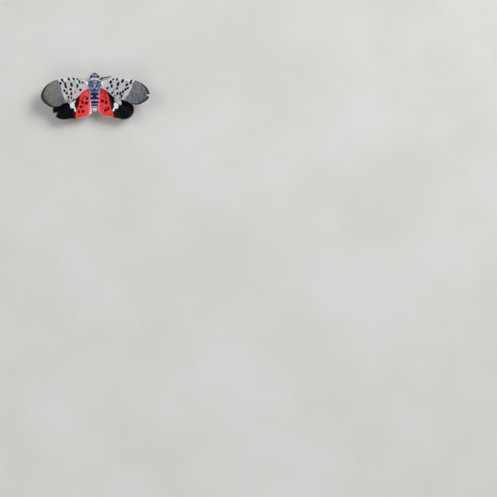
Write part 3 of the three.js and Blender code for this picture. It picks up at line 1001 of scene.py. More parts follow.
# %% The red part's outer edge and the white band, in photo pixels
RED_LINES = {
    "hindwing_left": (
        (80.6, 90.0),
        (79.6, 96.0),
        (79.7, 100.5),
        (79.2, 103.5),
        (78.4, 106.5),
        (77.2, 109.2),
        (76.3, 111.5),
        (75.8, 114.5),
        (75.9, 118.0),
    ),
    "hindwing_right": (
        (105.5, 88.0),
        (107.4, 92.5),
        (108.6, 97.0),
        (109.1, 100.0),
        (109.5, 103.0),
        (110.1, 106.0),
        (111.1, 109.0),
        (112.3, 111.6),
        (113.0, 114.0),
        (113.4, 118.0),
    ),
}
WHITE_BAND = {
    "hindwing_left": (
        (72.3, 104.6, 4.6, 7.6, 0),
        (70.6, 100.0, 6.0, 7.0, 0),
        (74.9, 109.0, 1.7, 5.6, -14),
        (69.0, 102.8, 1.4, 1.6, 0),
        (73.5, 100.3, 3.8, 6.4, 0),
        (67.6, 92.0, 7.0, 14.0, -10),
    ),
    "hindwing_right": (
        (117.8, 100.7, 5.0, 9.8, -40),
        (116.0, 105.4, 4.4, 6.6, -12),
        (113.6, 109.2, 1.8, 4.6, 25),
        (119.5, 92.5, 7.0, 12.0, 10),
    ),
}
# Ovals of painted shade that part the white band again
PAINTED_CREASE_SHADE = {
    "hindwing_left": ((73.5, 99.9, 1.6, 2.8, 30),),
    "hindwing_right": ((117.1, 102.9, 0.8, 8.0, -54),),
}
print("ovals in the white band:", [len(ovals) for ovals in WHITE_BAND.values()])

# %% [markdown]
# ## The hindwing's finish
# Red, dark stripe, white band and black outside could be four materials, but then their borders would
# follow the faces of the mesh. So one shader mixes two recipes: the red with its spots, pink and wax, and
# the outer part with its band and fringe. The distance to the red's outer edge chooses between them.

# %% The finish of the hindwing's membrane, from the red outwards
RED_EDGE = (-0.12, 0.12)  # mm on each side of the red's outer edge
made, tree, shader = finish_of("hindwing_membrane", Specular_IOR_Level=0.08)
HINDWING_FINISH = made
cloud = ramp(tree, noise(tree, 0.8, 5.0), 0.36, 0.64)
red = mixed(tree, cloud, colour(208, 38, 45), colour(250, 76, 72))
red = tinted(tree, red, {"orange": (222, 58, 34)})
edge = ramp(tree, mark(tree, "red"), -0.8, -0.3, 0.0, 0.7)
red = mixed(tree, edge, red, colour(206, 104, 88))
mottle = ramp(tree, noise(tree, 1.6), 0.35, 0.65, 0.55, 1.0)
# Pink along the inner edge is the wing's own colour; near the root the pink is painted light where the
# forewing's shadow falls.
red = mixed(tree, times(tree, mark(tree, "pink_and_painted_light"), mottle), red, colour(240, 104, 130))
red = mixed(tree, times(tree, mark(tree, "waxy"), mottle), red, colour(254, 222, 236))
red = mixed(tree, times(tree, ragged(tree, "dim"), 0.6), red, colour(120, 10, 22))
red = tinted(tree, red, {"hem": (240, 168, 150)})
red = mixed(tree, ragged(tree, "spot", *SPOT_EDGE), red, colour(108, 0, 3))
black = mixed(tree, ramp(tree, noise(tree, 0.8), 0.35, 0.65), colour(3, 3, 5), colour(11, 11, 16))
# Just past the red, dark red that turns black further out: black pigment with painted shade of a fold.
black_and_fold_shade = mixed(tree, ramp(tree, mark(tree, "red"), 0.0, 1.5), colour(108, 8, 15), black)
white = mixed(tree, cloud, colour(222, 232, 242), colour(246, 249, 254))
outer = mixed(tree, ragged(tree, "white", *WHITE_EDGE), black_and_fold_shade, white)
outer = tinted(tree, outer, {"fringe": (140, 146, 152)})
base = mixed(tree, ramp(tree, mark(tree, "red"), *RED_EDGE), red, outer)
wear(tree, shader, base, noise(tree, 3.0), 0.03, (0.42, 0.62))

# %% The finish of the hindwing's veins
made, tree, shader = finish_of("hindwing_veins", Specular_IOR_Level=0.1)
HINDWING_VEINS = made
inner = mixed(tree, noise(tree, 1.0), colour(168, 26, 34), colour(206, 58, 56))
# The pink is the wing's own along the inner edge, and painted light near the root.
tints = {"pink_and_painted_light": (238, 120, 142), "waxy": (252, 214, 228), "hem": (238, 166, 148)}
inner = tinted(tree, inner, tints)
inner = mixed(tree, ragged(tree, "spot", *SPOT_EDGE), inner, colour(92, 2, 7))
outer = mixed(tree, ragged(tree, "white", *WHITE_EDGE), colour(11, 11, 15), colour(196, 204, 214))
outer = tinted(tree, outer, {"fringe": (120, 126, 132)})
base = mixed(tree, ramp(tree, mark(tree, "red"), *RED_EDGE), inner, outer)
wear(tree, shader, base, noise(tree, 5.0), 0.02, (0.4, 0.55))

# %% [markdown]
# ## The hindwings
# They are built as the forewings are, but without a net: only main veins, forks and the rim stand out.
# The veins could be left out, since their colours are close to the membrane's, but they catch the light
# Pink and pale wax lie along the inner edge, and the right wing has little of them. Near the root
# the red is lightened with pink: painted light where the forewing's shadow falls.

# %% The marks on a hindwing's points
# How strong the pink is along the inner edge; it also scales the pink painted light near the root.
PINK_INNER = {"hindwing_left": 0.85, "hindwing_right": 0.25}
WAXY_INNER = {"hindwing_left": 0.95, "hindwing_right": 0.2}


def hindwing_paint(name, pose, points, s, t, to_margin):
    """The marks on a hindwing's points."""
    pixels = seen_at(points)
    white = nearest(pixels, WHITE_BAND[name])
    # Painted shade parts the white band again.
    for crease in PAINTED_CREASE_SHADE[name]:
        white = np.maximum(white, -oval(pixels, *crease))
    red = beyond(pixels, RED_LINES[name], pose["side"])
    return {
        "spot": nearest(pixels, RED_SPOTS[name], RED_SPOT_BLUR),
        "dim": nearest(pixels, DIM_SPOTS[name], SPOT_BLUR),
        "red": red,
        "white": white,
        "orange": 0.9 * eased(pixels[1], 109, 114) * eased(t, 0.98, 0.85),
        # Pink along the inner edge, and near the root a paler pink as painted light where the forewing's
        # shadow falls.
        "pink_and_painted_light": np.maximum(
            PINK_INNER[name] * (0.2 * eased(t, 0.6, 0.84) + 0.8 * eased(t, 0.84, 0.96)),
            0.55 * PINK_INNER[name] * eased(s, 0.4, 0.1),
        ),
        "waxy": WAXY_INNER[name] * eased(t, 0.97 - 0.06 * s, 0.985),
        "fringe": 0.8 * eased(to_margin, 0.45, 0.15) * eased(red, 0.5, 1.5),
        "hem": 0.7 * eased(to_margin, 0.3, 0.08),
    }


pose = POSES["hindwing_left"]
coarse = membrane(pose, 5, 4)
paint = hindwing_paint(
    "hindwing_left", pose, coarse["shell"][0], coarse["s"], coarse["t"], coarse["to_margin"]
)
print("marks of a hindwing:", ", ".join(paint))

# %% Build both hindwings
HINDWING_GRID = (150, 170)
HINDWING_RIM = 0.05
HINDWING_LENGTH = 16  # mm, to turn s into a distance from the margin

for name in ("hindwing_left", "hindwing_right"):
    pose = POSES[name]
    plate = membrane(pose, *HINDWING_GRID)
    paint = hindwing_paint(name, pose, plate["shell"][0], plate["s"], plate["t"], plate["to_margin"])
    add_piece(
        name,
        plate["shell"],
        HINDWING_FINISH,
        replaces=[name],
        marks=paint,
        turned=pose["side"] < 0,
    )
    lines = long_veins(HINDWING) + rim_lines(HINDWING_RIM)
    net = vein_mesh(pose, lines)
    s, t = (on_tubes([line[which] for line in lines]) for which in (0, 1))
    paint = hindwing_paint(name, pose, net[0], s, t, (1 - s) * HINDWING_LENGTH)
    add_piece(name + "_veins", net, HINDWING_VEINS, marks=paint)

# %% [markdown]
# ## The body's skin
# Head, collar, thorax and abdomen are one hard skin whose plates meet in grooves. The plates could stay
# separate meshes, but a seam would show in every groove. So rough shells are laid over one another, and a
# voxel remesh fuses them into one surface.

# %% Cross-sections of the body: y, z of the middle, half width, height above it and depth below it
HEAD = (
    (-4.1, 5.05, 0.7, 0.35, 0.6),
    (-3.75, 4.95, 1.15, 0.6, 1.0),
    (-3.3, 4.8, 1.45, 0.82, 1.35),
    (-2.75, 4.62, 1.6, 1.02, 1.6),
    (-2.2, 4.5, 1.6, 1.15, 1.6),
    (-1.5, 4.5, 1.5, 1.15, 1.5),
)
COLLAR = (
    (-2.0, 4.5, 1.6, 1.2, 1.3),
    (-1.35, 4.5, 2.4, 1.55, 1.65),
    (-0.7, 4.45, 2.85, 1.78, 1.85),
    (-0.3, 4.45, 2.75, 1.7, 1.8),
)
THORAX = (
    (-0.7, 4.42, 2.8, 1.68, 1.85),
    (0.7, 4.36, 3.0, 1.85, 2.1),
    (2.1, 4.3, 2.85, 1.85, 2.15),
    (3.5, 4.2, 2.5, 1.75, 2.0),
    (4.5, 4.12, 2.1, 1.55, 1.8),
    (4.9, 4.1, 1.95, 1.4, 1.65),
)
SHIELD = (
    (-0.45, 4.6, 2.35, 1.75, 1),
    (0.8, 4.7, 2.3, 1.85, 1),
    (2.2, 4.7, 1.65, 1.75, 1),
    (3.4, 4.65, 0.95, 1.6, 1),
    (4.5, 4.5, 0.3, 1.35, 1),
)
ABDOMEN = (
    (4.3, 4.08, 1.9, 1.35, 1.6),
    (4.75, 4.08, 2.05, 1.45, 1.7),
    (6.0, 4.05, 2.2, 1.6, 1.9),
    (8.0, 3.92, 2.1, 1.55, 1.9),
    (10.0, 3.72, 1.75, 1.35, 1.6),
    (11.8, 3.52, 1.4, 1.0, 1.15),
    (12.05, 3.5, 1.32, 0.9, 1.0),
    (12.55, 3.45, 1.1, 0.7, 0.8),
    (13.0, 3.4, 0.6, 0.4, 0.45),
)
print("the body is", ABDOMEN[-1][0] - HEAD[0][0], "mm long")

# %% A loft through cross-sections
SEGMENT_ENDS = (4.75, 6.75, 8.55, 10.05, 11.1, 11.8, 13.05)  # y of each back plate's rear edge
SQUARENESS = 2.3  # 2 would be an ellipse, and more is nearer to a box


def loft(stations, rings, around=72, swell=None):
    """A closed shell through cross-sections that are between an ellipse and a box."""
    stations = np.array(stations, float)
    y = np.linspace(stations[0, 0], stations[-1, 0], rings)
    values = np.broadcast_to(stations[:, None, 1:], (len(stations), rings, 4))
    z, width, up, down = along(stations[:, 0], values, y).T[:, :, None]
    angle = np.linspace(0, 2 * math.pi, around, endpoint=False)
    c, s = (np.sign(v) * np.abs(v) ** (2 / SQUARENESS) for v in (np.cos(angle), np.sin(angle)))
    size = np.ones(rings) if swell is None else swell(y)
    tall = np.where(s > 0, up, down) * s * size[:, None]
    points = np.stack([width * c * size[:, None], np.broadcast_to(y[:, None], tall.shape), z + tall], -1)
    last = (rings - 1) * around
    ends = [list(range(around)), list(range(last + around - 1, last - 1, -1))]
    return points.reshape(-1, 3), [face[::-1] for face in ring_faces(rings, around)] + ends


def segment_swell(y):
    """Each back plate of the abdomen rises to its rear edge and drops to the next."""
    ends = np.array(SEGMENT_ENDS)
    k = np.clip(np.searchsorted(ends, y) - 1, 0, len(ends) - 2)
    share = np.clip((y - ends[k]) / (ends[k + 1] - ends[k]), 0, 1)
    return 0.93 + 0.09 * np.sin(math.pi * np.minimum(1, share * 0.72 + 0.06)) * eased(share, 1.0, 0.93)


print("back plates of the abdomen:", len(SEGMENT_ENDS) - 1)

# %% Rough shells of the body, with muzzle, shoulder plates and leg bases
shells = [
    loft(HEAD, 40),
    ball((0, -3.2, 3.75), (0.95, 0.75, 1.35)),
    limb((0, -3.7, 5.0), (0, -4.05, 5.5), (0.5, 0.44, 0.3)),
    loft(COLLAR, 30),
    loft(THORAX, 50),
    loft(SHIELD, 50),
    loft(ABDOMEN, 220, swell=segment_swell),
]
for side in (1, -1):
    shells.append(ball(np.array((3.5 * side, 0.7, 5.72)), np.array((1.0, 0.85, 0.42)), 40))
    shells.append(limb((2.2 * side, 0.5, 5.5), (3.2 * side, 0.6, 5.7), (0.55, 0.6)))
    shells.append(limb((0.9 * side, -1.2, 3.3), (1.15 * side, -1.2, 2.4), (0.7, 0.62)))
    shells.append(limb((1.0 * side, 0.9, 3.0), (1.35 * side, 0.9, 1.95), (0.75, 0.62)))
    shells.append(limb((1.0 * side, 3.2, 3.0), (1.4 * side, 3.25, 1.95), (0.75, 0.62)))
points, faces = merged(shells)
print("rough shells:", len(shells), "with", len(faces), "faces")

# %% Fuse them into one skin
VOXEL = 0.05  # mm
rough = bpy.data.meshes.new("rough_body")
rough.from_pydata(points.tolist(), [], faces)
rough_body = bpy.data.objects.new("rough_body", rough)
bpy.context.scene.collection.objects.link(rough_body)
remesh = rough_body.modifiers.new("fuse", "REMESH")
remesh.mode = "VOXEL"
remesh.voxel_size = VOXEL
settle = rough_body.modifiers.new("settle", "SMOOTH")
settle.iterations = 3
fused = bpy.data.meshes.new_from_object(rough_body.evaluated_get(bpy.context.evaluated_depsgraph_get()))
bpy.data.objects.remove(rough_body)


def numbers(items, field, width):
    """A field of a mesh's elements as an array."""
    values = np.empty(len(items) * width, np.float32)
    items.foreach_get(field, values)
    return values.reshape(-1, width).astype(float)


body = numbers(fused.vertices, "co", 3)
outward = numbers(fused.vertex_normals, "vector", 3)
corners = [list(face.vertices) for face in fused.polygons]
print("body points after fusing:", len(body))

# %% [markdown]
# ## Grooves and keels
# On the real skin the plates meet in grooves, and fine keels run along head, collar and shield. They could
# be sculpted or cut with booleans. Here each is a bell curve round a line, and every point moves along its
# normal by the sum of them, which keeps the skin closed and lets each groove have a measured depth.

# %% Grooves and steps between the plates, and the keels of the shield


def ridge(distance, width):
    """1 on a line and 0 a few widths away."""
    return np.exp(-((distance / width) ** 2))


x, y, z = body.T
top = eased(outward[:, 2], 0.1, 0.6)
middle = np.abs(x)
behind_head = y + 1.98 - 0.05 * x * x
relief = -0.2 * ridge(behind_head, 0.08) + 0.05 * ridge(behind_head - 0.2, 0.12)
# The collar's rear edge bows forwards in the middle and steps down onto the shield.
collar_edge = y + 0.62 - 0.1 * x * x
relief += top * eased(y, 2, 0) * (0.1 * ridge(collar_edge + 0.16, 0.14) - 0.2 * ridge(collar_edge, 0.08))
relief -= 0.18 * ridge(y - 4.68, 0.09)
on_shield = eased(y, -0.4, 0.0) * eased(y, 4.5, 4.1) * top
shield_half = np.interp(y, [row[0] for row in SHIELD], [row[2] for row in SHIELD])
relief += 0.08 * top * ridge(middle, 0.07) * eased(y, -3.9, -3.5) * eased(y, 4.4, 4.0)
relief += 0.09 * on_shield * ridge(middle - (1.15 - 0.2 * y), 0.08)
relief -= 0.15 * on_shield * ridge(middle - shield_half - 0.06, 0.1)
relief += 0.07 * on_shield * ridge(middle - shield_half + 0.14, 0.1)
relief -= 0.1 * on_shield * ridge(y - 2.55 - 0.35 * middle, 0.08) * eased(middle, 1.3, 0.9)
relief += 0.05 * top * ridge(middle - 1.05, 0.08) * eased(y, -2.0, -1.7) * eased(y, -0.5, -0.8)
print("deepest groove:", round(-relief.min(), 2), "mm, highest keel:", round(relief.max(), 2), "mm")

# %% Lobes and hollows, and the skin's unevenness
# Behind the shield's point the last plate of the thorax has two low lobes.
relief += 0.12 * top * ridge(np.hypot((middle - 1.15) / 0.55, (y - 4.0) / 0.4), 1)
relief -= 0.08 * top * ridge(np.hypot(middle - 0.55, y + 3.15), 0.32)
relief -= 0.06 * top * ridge(np.hypot(middle - 0.55, y + 1.3), 0.25)
relief += 0.06 * top * ridge(y + 3.0 - 0.25 * x * x, 0.07) * eased(middle, 1.5, 1.2)
front = eased(outward[:, 1], -0.1, -0.6) * eased(z, 4.9, 4.6)
relief += 0.07 * front * ridge(middle - 0.5, 0.08) + 0.05 * front * ridge(middle, 0.06)
# Each back plate of the abdomen is dented on both sides of the middle and swells beside that.
on_back = top * eased(y, 4.7, 5.0) * eased(y, 11.6, 11.2)
dent = 0.05 * ridge(middle - 0.75, 0.3)
relief += on_back * (0.04 * ridge(middle, 0.12) - dent + 0.06 * ridge(middle - 1.5, 0.25))
relief += waves(body, 0.9, 0.014, 3) + waves(body, 3.0, 0.006, 4)
body = body + outward * relief[:, None]
print("the skin moved by up to", round(np.abs(relief).max(), 2), "mm")

# %% [markdown]
# ## Paint of the body
# From behind the head the body is lavender grey, slate blue with a tan wedge, and then banded navy and
# lavender white down to a white waxy tip. A shader could mix all this, but the patches are soft, so each
# point gets its colour straight from a short list of ovals, whose edges waver a little.

# %% Patches on head, collar and thorax, in photo pixels
BODY_PATCHES = (
    # name of the paint, across, down, width, height, lean, softness in mm
    ("lavender", 94.6, 79.4, 13.6, 5.4, 0, 0.2),
    ("pale_blue", 89.0, 80.2, 3.2, 1.5, -10, 0.2),
    ("pale_blue", 99.6, 80.2, 3.2, 1.5, 10, 0.2),
    ("whitish", 92.3, 78.8, 3.4, 1.5, -15, 0.16),
    ("whitish", 96.7, 78.9, 3.2, 1.5, 15, 0.16),
    ("slate", 94.6, 85.4, 13.0, 9.6, 0, 0.2),
    ("slate_dark", 90.9, 82.2, 2.4, 2.6, -20, 0.5),
    ("slate_dark", 98.3, 82.0, 2.4, 2.6, 20, 0.5),
    ("slate_light", 89.6, 83.0, 1.3, 3.6, -25, 0.2),
    ("slate_light", 99.8, 83.2, 1.5, 3.4, 20, 0.2),
    ("slate_light", 100.9, 85.0, 1.2, 1.6, 0, 0.2),
    ("tan", 94.0, 81.3, 4.4, 2.6, 0, 0.16),
    ("tan", 94.4, 83.2, 2.8, 3.4, 0, 0.16),
    ("pinkish", 95.2, 81.3, 1.1, 1.4, 0, 0.2),
    ("pale_blue", 93.7, 85.7, 0.9, 2.8, -30, 0.16),
    ("pale_blue", 95.2, 85.9, 0.9, 2.8, 25, 0.16),
    ("pale_blue", 94.5, 87.0, 1.0, 1.4, 0, 0.16),
    ("slate_dark", 92.5, 86.2, 1.6, 2.2, -30, 0.4),
    ("slate_dark", 96.8, 86.0, 1.6, 2.2, 30, 0.4),
    ("slate_dark", 94.5, 90.2, 7.4, 2.2, 0, 0.4),
    ("oblong", 91.9, 88.1, 1.3, 3.3, -38, 0.14),
    ("oblong", 96.9, 88.4, 1.3, 2.9, 40, 0.14),
    ("waxy", 88.5, 88.4, 1.3, 3.8, -12, 0.2),
    ("waxy", 100.5, 88.6, 1.3, 3.8, 8, 0.2),
    ("waxy", 89.6, 91.8, 1.7, 3.0, -20, 0.2),
    ("waxy", 99.4, 92.0, 1.5, 3.4, 15, 0.2),
    ("lavender", 94.4, 92.1, 6.6, 1.2, 0, 0.16),
    ("navy", 94.5, 94.6, 7.4, 3.4, 0, 0.2),
)
print("patches on the body:", len(BODY_PATCHES))

# %% Paints of the body
PAINTS = {
    "lavender": colour(158, 158, 188),
    "pale_blue": colour(176, 192, 210),
    "whitish": colour(218, 220, 238),
    "slate": colour(94, 114, 142),
    "slate_light": colour(126, 148, 178),
    "slate_dark": colour(36, 50, 88),
    "tan": colour(138, 116, 126),
    "pinkish": colour(196, 166, 176),
    "oblong": colour(166, 180, 214),
    "waxy": colour(240, 208, 226),
    "navy": colour(16, 2, 58),
    "band": colour(196, 184, 222),
    "wax_white": colour(250, 251, 255),
    "tip_grey": colour(150, 166, 180),
    "under": colour(150, 138, 120),
    "head": colour(92, 96, 124),
    "head_dark": colour(24, 22, 38),
}


def painted(base, name, share):
    """base with one of the paints over it."""
    return base + (np.array(PAINTS[name][:3]) - base) * np.clip(share, 0, 1)[:, None]


print("paints:", ", ".join(PAINTS))

# %% Paint the thorax and the underside
x, y, z = body.T
middle = np.abs(x)
upper = eased(outward[:, 2], -0.15, 0.25)
on_abdomen = eased(y, 4.6, 4.8)
on_head = eased(y, -1.95, -2.1)
across, down = seen_at(body)
pixels = (across + waves(body, 0.7, 0.16, 5), down + waves(body, 0.7, 0.16, 6))
paint = np.tile(np.array(PAINTS["slate"][:3]), (len(body), 1))
paint = painted(paint, "under", 1 - upper)
for name, across, down, width, height, lean, soft in BODY_PATCHES:
    inside = eased(oval(pixels, across, down, width, height, lean), soft / 2, -soft / 2)
    paint = painted(paint, name, inside * upper * (1 - on_head))
print("points of the upper side:", int((upper > 0.5).sum()), "of", len(body))

# %% Paint the abdomen
# How pale the rear edge of each back plate is, in the middle and at its sides
BANDS = ((0.0, 0.85), (0.85, 1.0), (0.45, 0.75), (0.9, 1.0), (0.5, 0.8), (1.0, 1.0))
paint = painted(paint, "lavender", on_abdomen * upper)
# The navy of the back begins with a round front, and this is its half width at each y.
dome = 0.9 + 1.2 * np.sqrt(np.clip((y - 4.75) / 0.9, 0, 1))
facing_up = on_abdomen * eased(outward[:, 2], -0.2, 0.3)
paint = painted(paint, "navy", facing_up * eased(middle, dome + 0.1, dome - 0.15))
plate = np.clip(np.searchsorted(SEGMENT_ENDS, y) - 1, 0, len(SEGMENT_ENDS) - 2)
ends = np.array(SEGMENT_ENDS)
share = (y - ends[plate]) / (ends[plate + 1] - ends[plate])
pale = np.array(BANDS)[plate]
pale = pale[:, 0] + (pale[:, 1] - pale[:, 0]) * eased(middle, 0.5, 1.3)
wavy = share + waves(body, 0.8, 0.03, 8)
paint = painted(paint, "band", on_abdomen * upper * pale * eased(wavy, 0.64, 0.74))
paint = painted(paint, "band", 0.5 * upper * eased(y, 11.05, 11.15))
paint = painted(paint, "waxy", on_abdomen * eased(middle, 1.75, 2.05) * 0.8 * upper)
paint = painted(paint, "wax_white", eased(y, 11.6, 11.8))
paint = painted(paint, "tip_grey", 0.8 * ridge(np.hypot(x * 0.9, (y - 12.3) * 1.1), 0.42) * upper)
# The rear end of the tip is made darker grey.
paint = painted(paint, "tip_grey", 0.7 * eased(y + 0.25 * middle, 12.55, 12.95))
print("points of the abdomen:", int((on_abdomen > 0.5).sum()))

# %% Paint the head and the shoulder plates
paint = painted(paint, "head", on_head)
for side in (1, -1):
    hollow = ridge(np.hypot(x - 0.55 * side, (y + 3.1) * 0.9), 0.34) * on_head * upper
    paint = painted(paint, "whitish", hollow * 0.75)
paint = painted(paint, "head_dark", on_head * ridge(middle - 1.15 + 0.25 * (y + 3), 0.2) * 0.85)
paint = painted(paint, "head_dark", on_head * ridge(middle, 0.1) * 0.8)
paint = painted(paint, "head_dark", on_head * eased(y, -3.35, -3.7) * 0.9)
paint = painted(paint, "head_dark", on_head * eased(z, 4.9, 4.4) * 0.85)
lobe = eased(middle, 2.85, 3.05) * eased(y, -0.4, -0.2) * eased(y, 1.6, 1.4) * eased(z, 5.2, 5.5)
paint = painted(paint, "wax_white", lobe)
paint = painted(paint, "head_dark", lobe * eased(np.hypot(middle - 4.05, y - 0.8), 0.34, 0.2))
print("points of the head:", int((on_head > 0.5).sum()))

# %% [markdown]
# ## The skin's finish
# The real skin is dull and finely pitted. The pits could be part of the mesh, but they are a seventh of a
# millimetre apart and would need millions of faces, so they are a bump. The colour is the paint that the
# points carry, made darker and lighter by a fine grain.

# %% The skin's finish, and the skin
made, tree, shader = finish_of("body_skin", Specular_IOR_Level=0.22)
SKIN_FINISH = made
own = put(tree, "Attribute", attribute_name="paint").outputs["Color"]
grain = ramp(tree, noise(tree, 5.0, 4.0), 0.3, 0.7)
shade = mixed(tree, grain, (0.72, 0.72, 0.74, 1), (1.18, 1.17, 1.16, 1))
pits = ramp(tree, cells(tree, 7.0), 0.05, 0.3)
base = mixed(tree, 1.0, own, shade, "MULTIPLY")
wear(tree, shader, base, pits, 0.02, (0.62, 0.5))
add_piece(
    "body_skin",
    (body, corners),
    SKIN_FINISH,
    replaces=["head", "prothorax", "thorax", "abdomen", "abdomen_tip"],
    marks={"paint": np.column_stack([paint, np.ones(len(paint))])},
)

# %% [markdown]
# ## Finishes of eyes, feelers and legs
# An eye is dark and glossy with hundreds of facets, a feeler is orange and grainy, and beak and legs are
# nearly black with a faint gloss. Facets and grains could be modelled one by one, but they are finer than
# a fifth of a millimetre, so a pattern of round cells gives them as a bump.

# %% The eye's finish
made, tree, shader = finish_of("eye", Coat_Weight=0.3, Coat_Roughness=0.2)
EYE_FINISH = made
facet = cells(tree, 17.0)
base = mixed(tree, ramp(tree, facet, 0.1, 0.6), colour(26, 20, 30), colour(8, 7, 11))
wear(tree, shader, base, ramp(tree, facet, 0.0, 0.6, 1.0, 0.0), 0.004, (0.3, 0.42))

# %% The finishes of feelers and of dark cuticle
made, tree, shader = finish_of("feeler")
FEELER_FINISH = made
base = mixed(tree, ramp(tree, noise(tree, 6.0), 0.35, 0.65), colour(196, 70, 22), colour(236, 122, 48))
wear(tree, shader, base, ramp(tree, cells(tree, 6.0), 0.0, 0.5, 1.0, 0.0), 0.03, (0.45, 0.6))

made, tree, shader = finish_of("dark_cuticle", Specular_IOR_Level=0.4)
LEG_FINISH = made
base = mixed(tree, ramp(tree, noise(tree, 2.5), 0.3, 0.7), colour(20, 17, 20), colour(52, 44, 46))
wear(tree, shader, base, noise(tree, 9.0, 4.0), 0.02, (0.35, 0.55))

# %% [markdown]
# ## Eyes, feelers and beak
# The eyes are egg-shaped and sit on the sides of the head. Under each is a feeler: a fat bulb that bears a
# thin bristle. The beak lies along the underside between the legs. All could be fused into the skin, but
# each has an edge and a finish of its own, so each is a piece of its own.

# %% Eyes and feelers
EYE = ((1.56, -2.6, 4.72), (0.62, 0.6, 0.7))  # middle and half sizes
PEDICEL = ((1.58, -3.0, 3.72), (0.4, 0.4, 0.48))  # the feeler's bulb
BRISTLE = ((1.58, -3.0, 3.72), (2.2, -3.45, 3.5), (2.9, -3.95, 3.35))
for name, side in (("left", 1), ("right", -1)):
    mirror = np.array([side, 1, 1])
    eye = ball(EYE[0] * mirror, np.array(EYE[1]), 48)
    add_piece("eye_" + name, eye, EYE_FINISH, replaces=["eye_" + name])
    pedicel = ball(PEDICEL[0] * mirror, np.array(PEDICEL[1]), 40)
    add_piece("feeler_" + name, pedicel, FEELER_FINISH, replaces=["antenna_" + name])
    bristle = tube(smooth_line(np.array(BRISTLE) * mirror, 16), np.linspace(0.07, 0.015, 16), 8)
    add_piece("bristle_" + name, bristle, LEG_FINISH)

# %% The beak
BEAK = ((0, -2.9, 2.9), (0, -1.9, 2.2), (0, 1.6, 1.95), (0, 5.0, 1.75))
beak = merged([
    limb(BEAK[0], BEAK[1], (0.5, 0.4)),
    limb(BEAK[1], BEAK[2], (0.38, 0.3)),
    limb(BEAK[2], BEAK[3], (0.28, 0.26, 0.14)),
])
add_piece("beak", beak, LEG_FINISH, replaces=["beak"])

# %% [markdown]
# ## Legs
# Each leg has a short stout base, a thigh, a long shin and a foot of three joints with two claws. Bristles
# run down the shin, and the hind shin bears a few strong spines. The joints could be modelled as sockets,
# but at this size they read as narrow waists between swollen ends, so rounded limbs sink into each other.

# %% Where the legs bend, in mm
LEGS = {
    "foreleg_left": ((1.15, -1.2, 2.5), (2.35, -1.95, 3.15), (1.75, -3.0), (1.15, -4.1)),
    "foreleg_right": ((-1.15, -1.2, 2.5), (-4.0, -2.3, 4.1), (-5.8, -3.2), (-7.0, -3.8)),
    "midleg_left": ((1.3, 0.9, 2.0), (4.6, 0.2, 3.7), (7.0, 0.9), (8.7, 1.3)),
    "midleg_right": ((-1.3, 0.9, 2.0), (-4.6, 0.5, 3.7), (-6.9, 1.7), (-8.5, 2.4)),
    "hindleg_left": ((1.35, 3.3, 2.0), (4.3, 4.9, 3.5), (6.0, 10.2), (6.6, 12.0)),
    "hindleg_right": ((-1.35, 3.3, 2.0), (-4.4, 4.7, 3.5), (-6.4, 9.8), (-7.2, 11.5)),
}
FOOT_HEIGHT = 0.2  # z of the foot's middle line at the toe
print("legs:", len(LEGS))

# %% Spurs, bristles and spines of the shin
SPURS = 7  # round the shin's end
BRISTLES = 27  # in three rows down the shin
SPINES = (0.3, 0.48, 0.64, 0.8)  # their places along the hind shin


def spur_shells(ankle, foot):
    """Short spurs round the end of the shin, which point along the foot."""
    across = np.cross(foot, (0, 0, 1))
    shells = []
    for i in range(SPURS):
        angle = 2 * math.pi * i / SPURS
        way = math.cos(angle) * across + (0, 0, math.sin(angle))
        start = ankle + way * 0.14
        shells.append(tube([start, start + way * 0.12 + foot * 0.22], (0.045, 0.008), 6))
    return shells


def bristle_shells(knee, shin):
    """Three rows of short bristles down the shin."""
    run = shin / np.linalg.norm(shin)
    level = np.array([-shin[1], shin[0], 0]) / np.hypot(shin[0], shin[1])
    down = np.cross(run, level)
    shells = []
    for i in range(BRISTLES):
        start = knee + shin * (0.12 + 0.8 * i / BRISTLES)
        angle = 2 * math.pi * (i % 3) / 3 + 0.4 * (i % 2)
        way = math.cos(angle) * level + math.sin(angle) * down
        hair = [start + way * 0.15, start + way * 0.34 + run * 0.16]
        shells.append(tube(hair, (0.022, 0.006), 5))
    return shells


def spine_shells(knee, shin, side):
    """The strong spines on the outer side of the hind shin."""
    shells = []
    for share in SPINES:
        start = knee + shin * share
        tip = start + (0.5 * side, 0.28, 0.06)
        shells.append(tube([start, (start * 2 + tip) / 3, tip], (0.13, 0.1, 0.012), 10))
    return shells


print("bristles and spurs of a shin:", BRISTLES + SPURS)

# %% A leg and its claws


def leg_shells(name, hip, knee, ankle, toe):
    """The limbs of a leg, with all that stands out of them."""
    hip, knee = np.array(hip), np.array(knee)
    ankle, toe = np.array([*ankle, FOOT_HEIGHT + 0.12]), np.array([*toe, FOOT_HEIGHT])
    shells = [
        limb(hip * (0.8, 1, 1) + (0, 0, 0.7), hip, (0.5, 0.58, 0.46)),
        limb(hip, knee, (0.24, 0.36, 0.42, 0.38, 0.26)),
        limb(knee, ankle, (0.25, 0.22, 0.2, 0.2, 0.25)),
    ]
    joints = [ankle + (toe - ankle) * share for share in (0, 0.38, 0.66, 1)]
    for start, end in zip(joints, joints[1:]):
        shells.append(limb(start, end, (0.13, 0.19, 0.17), 12))
    shin, foot = ankle - knee, (toe - ankle) / np.linalg.norm(toe - ankle)
    shells += spur_shells(ankle, foot) + bristle_shells(knee, shin)
    if name.startswith("hindleg"):
        shells += spine_shells(knee, shin, np.sign(hip[0]))
    return merged(shells)


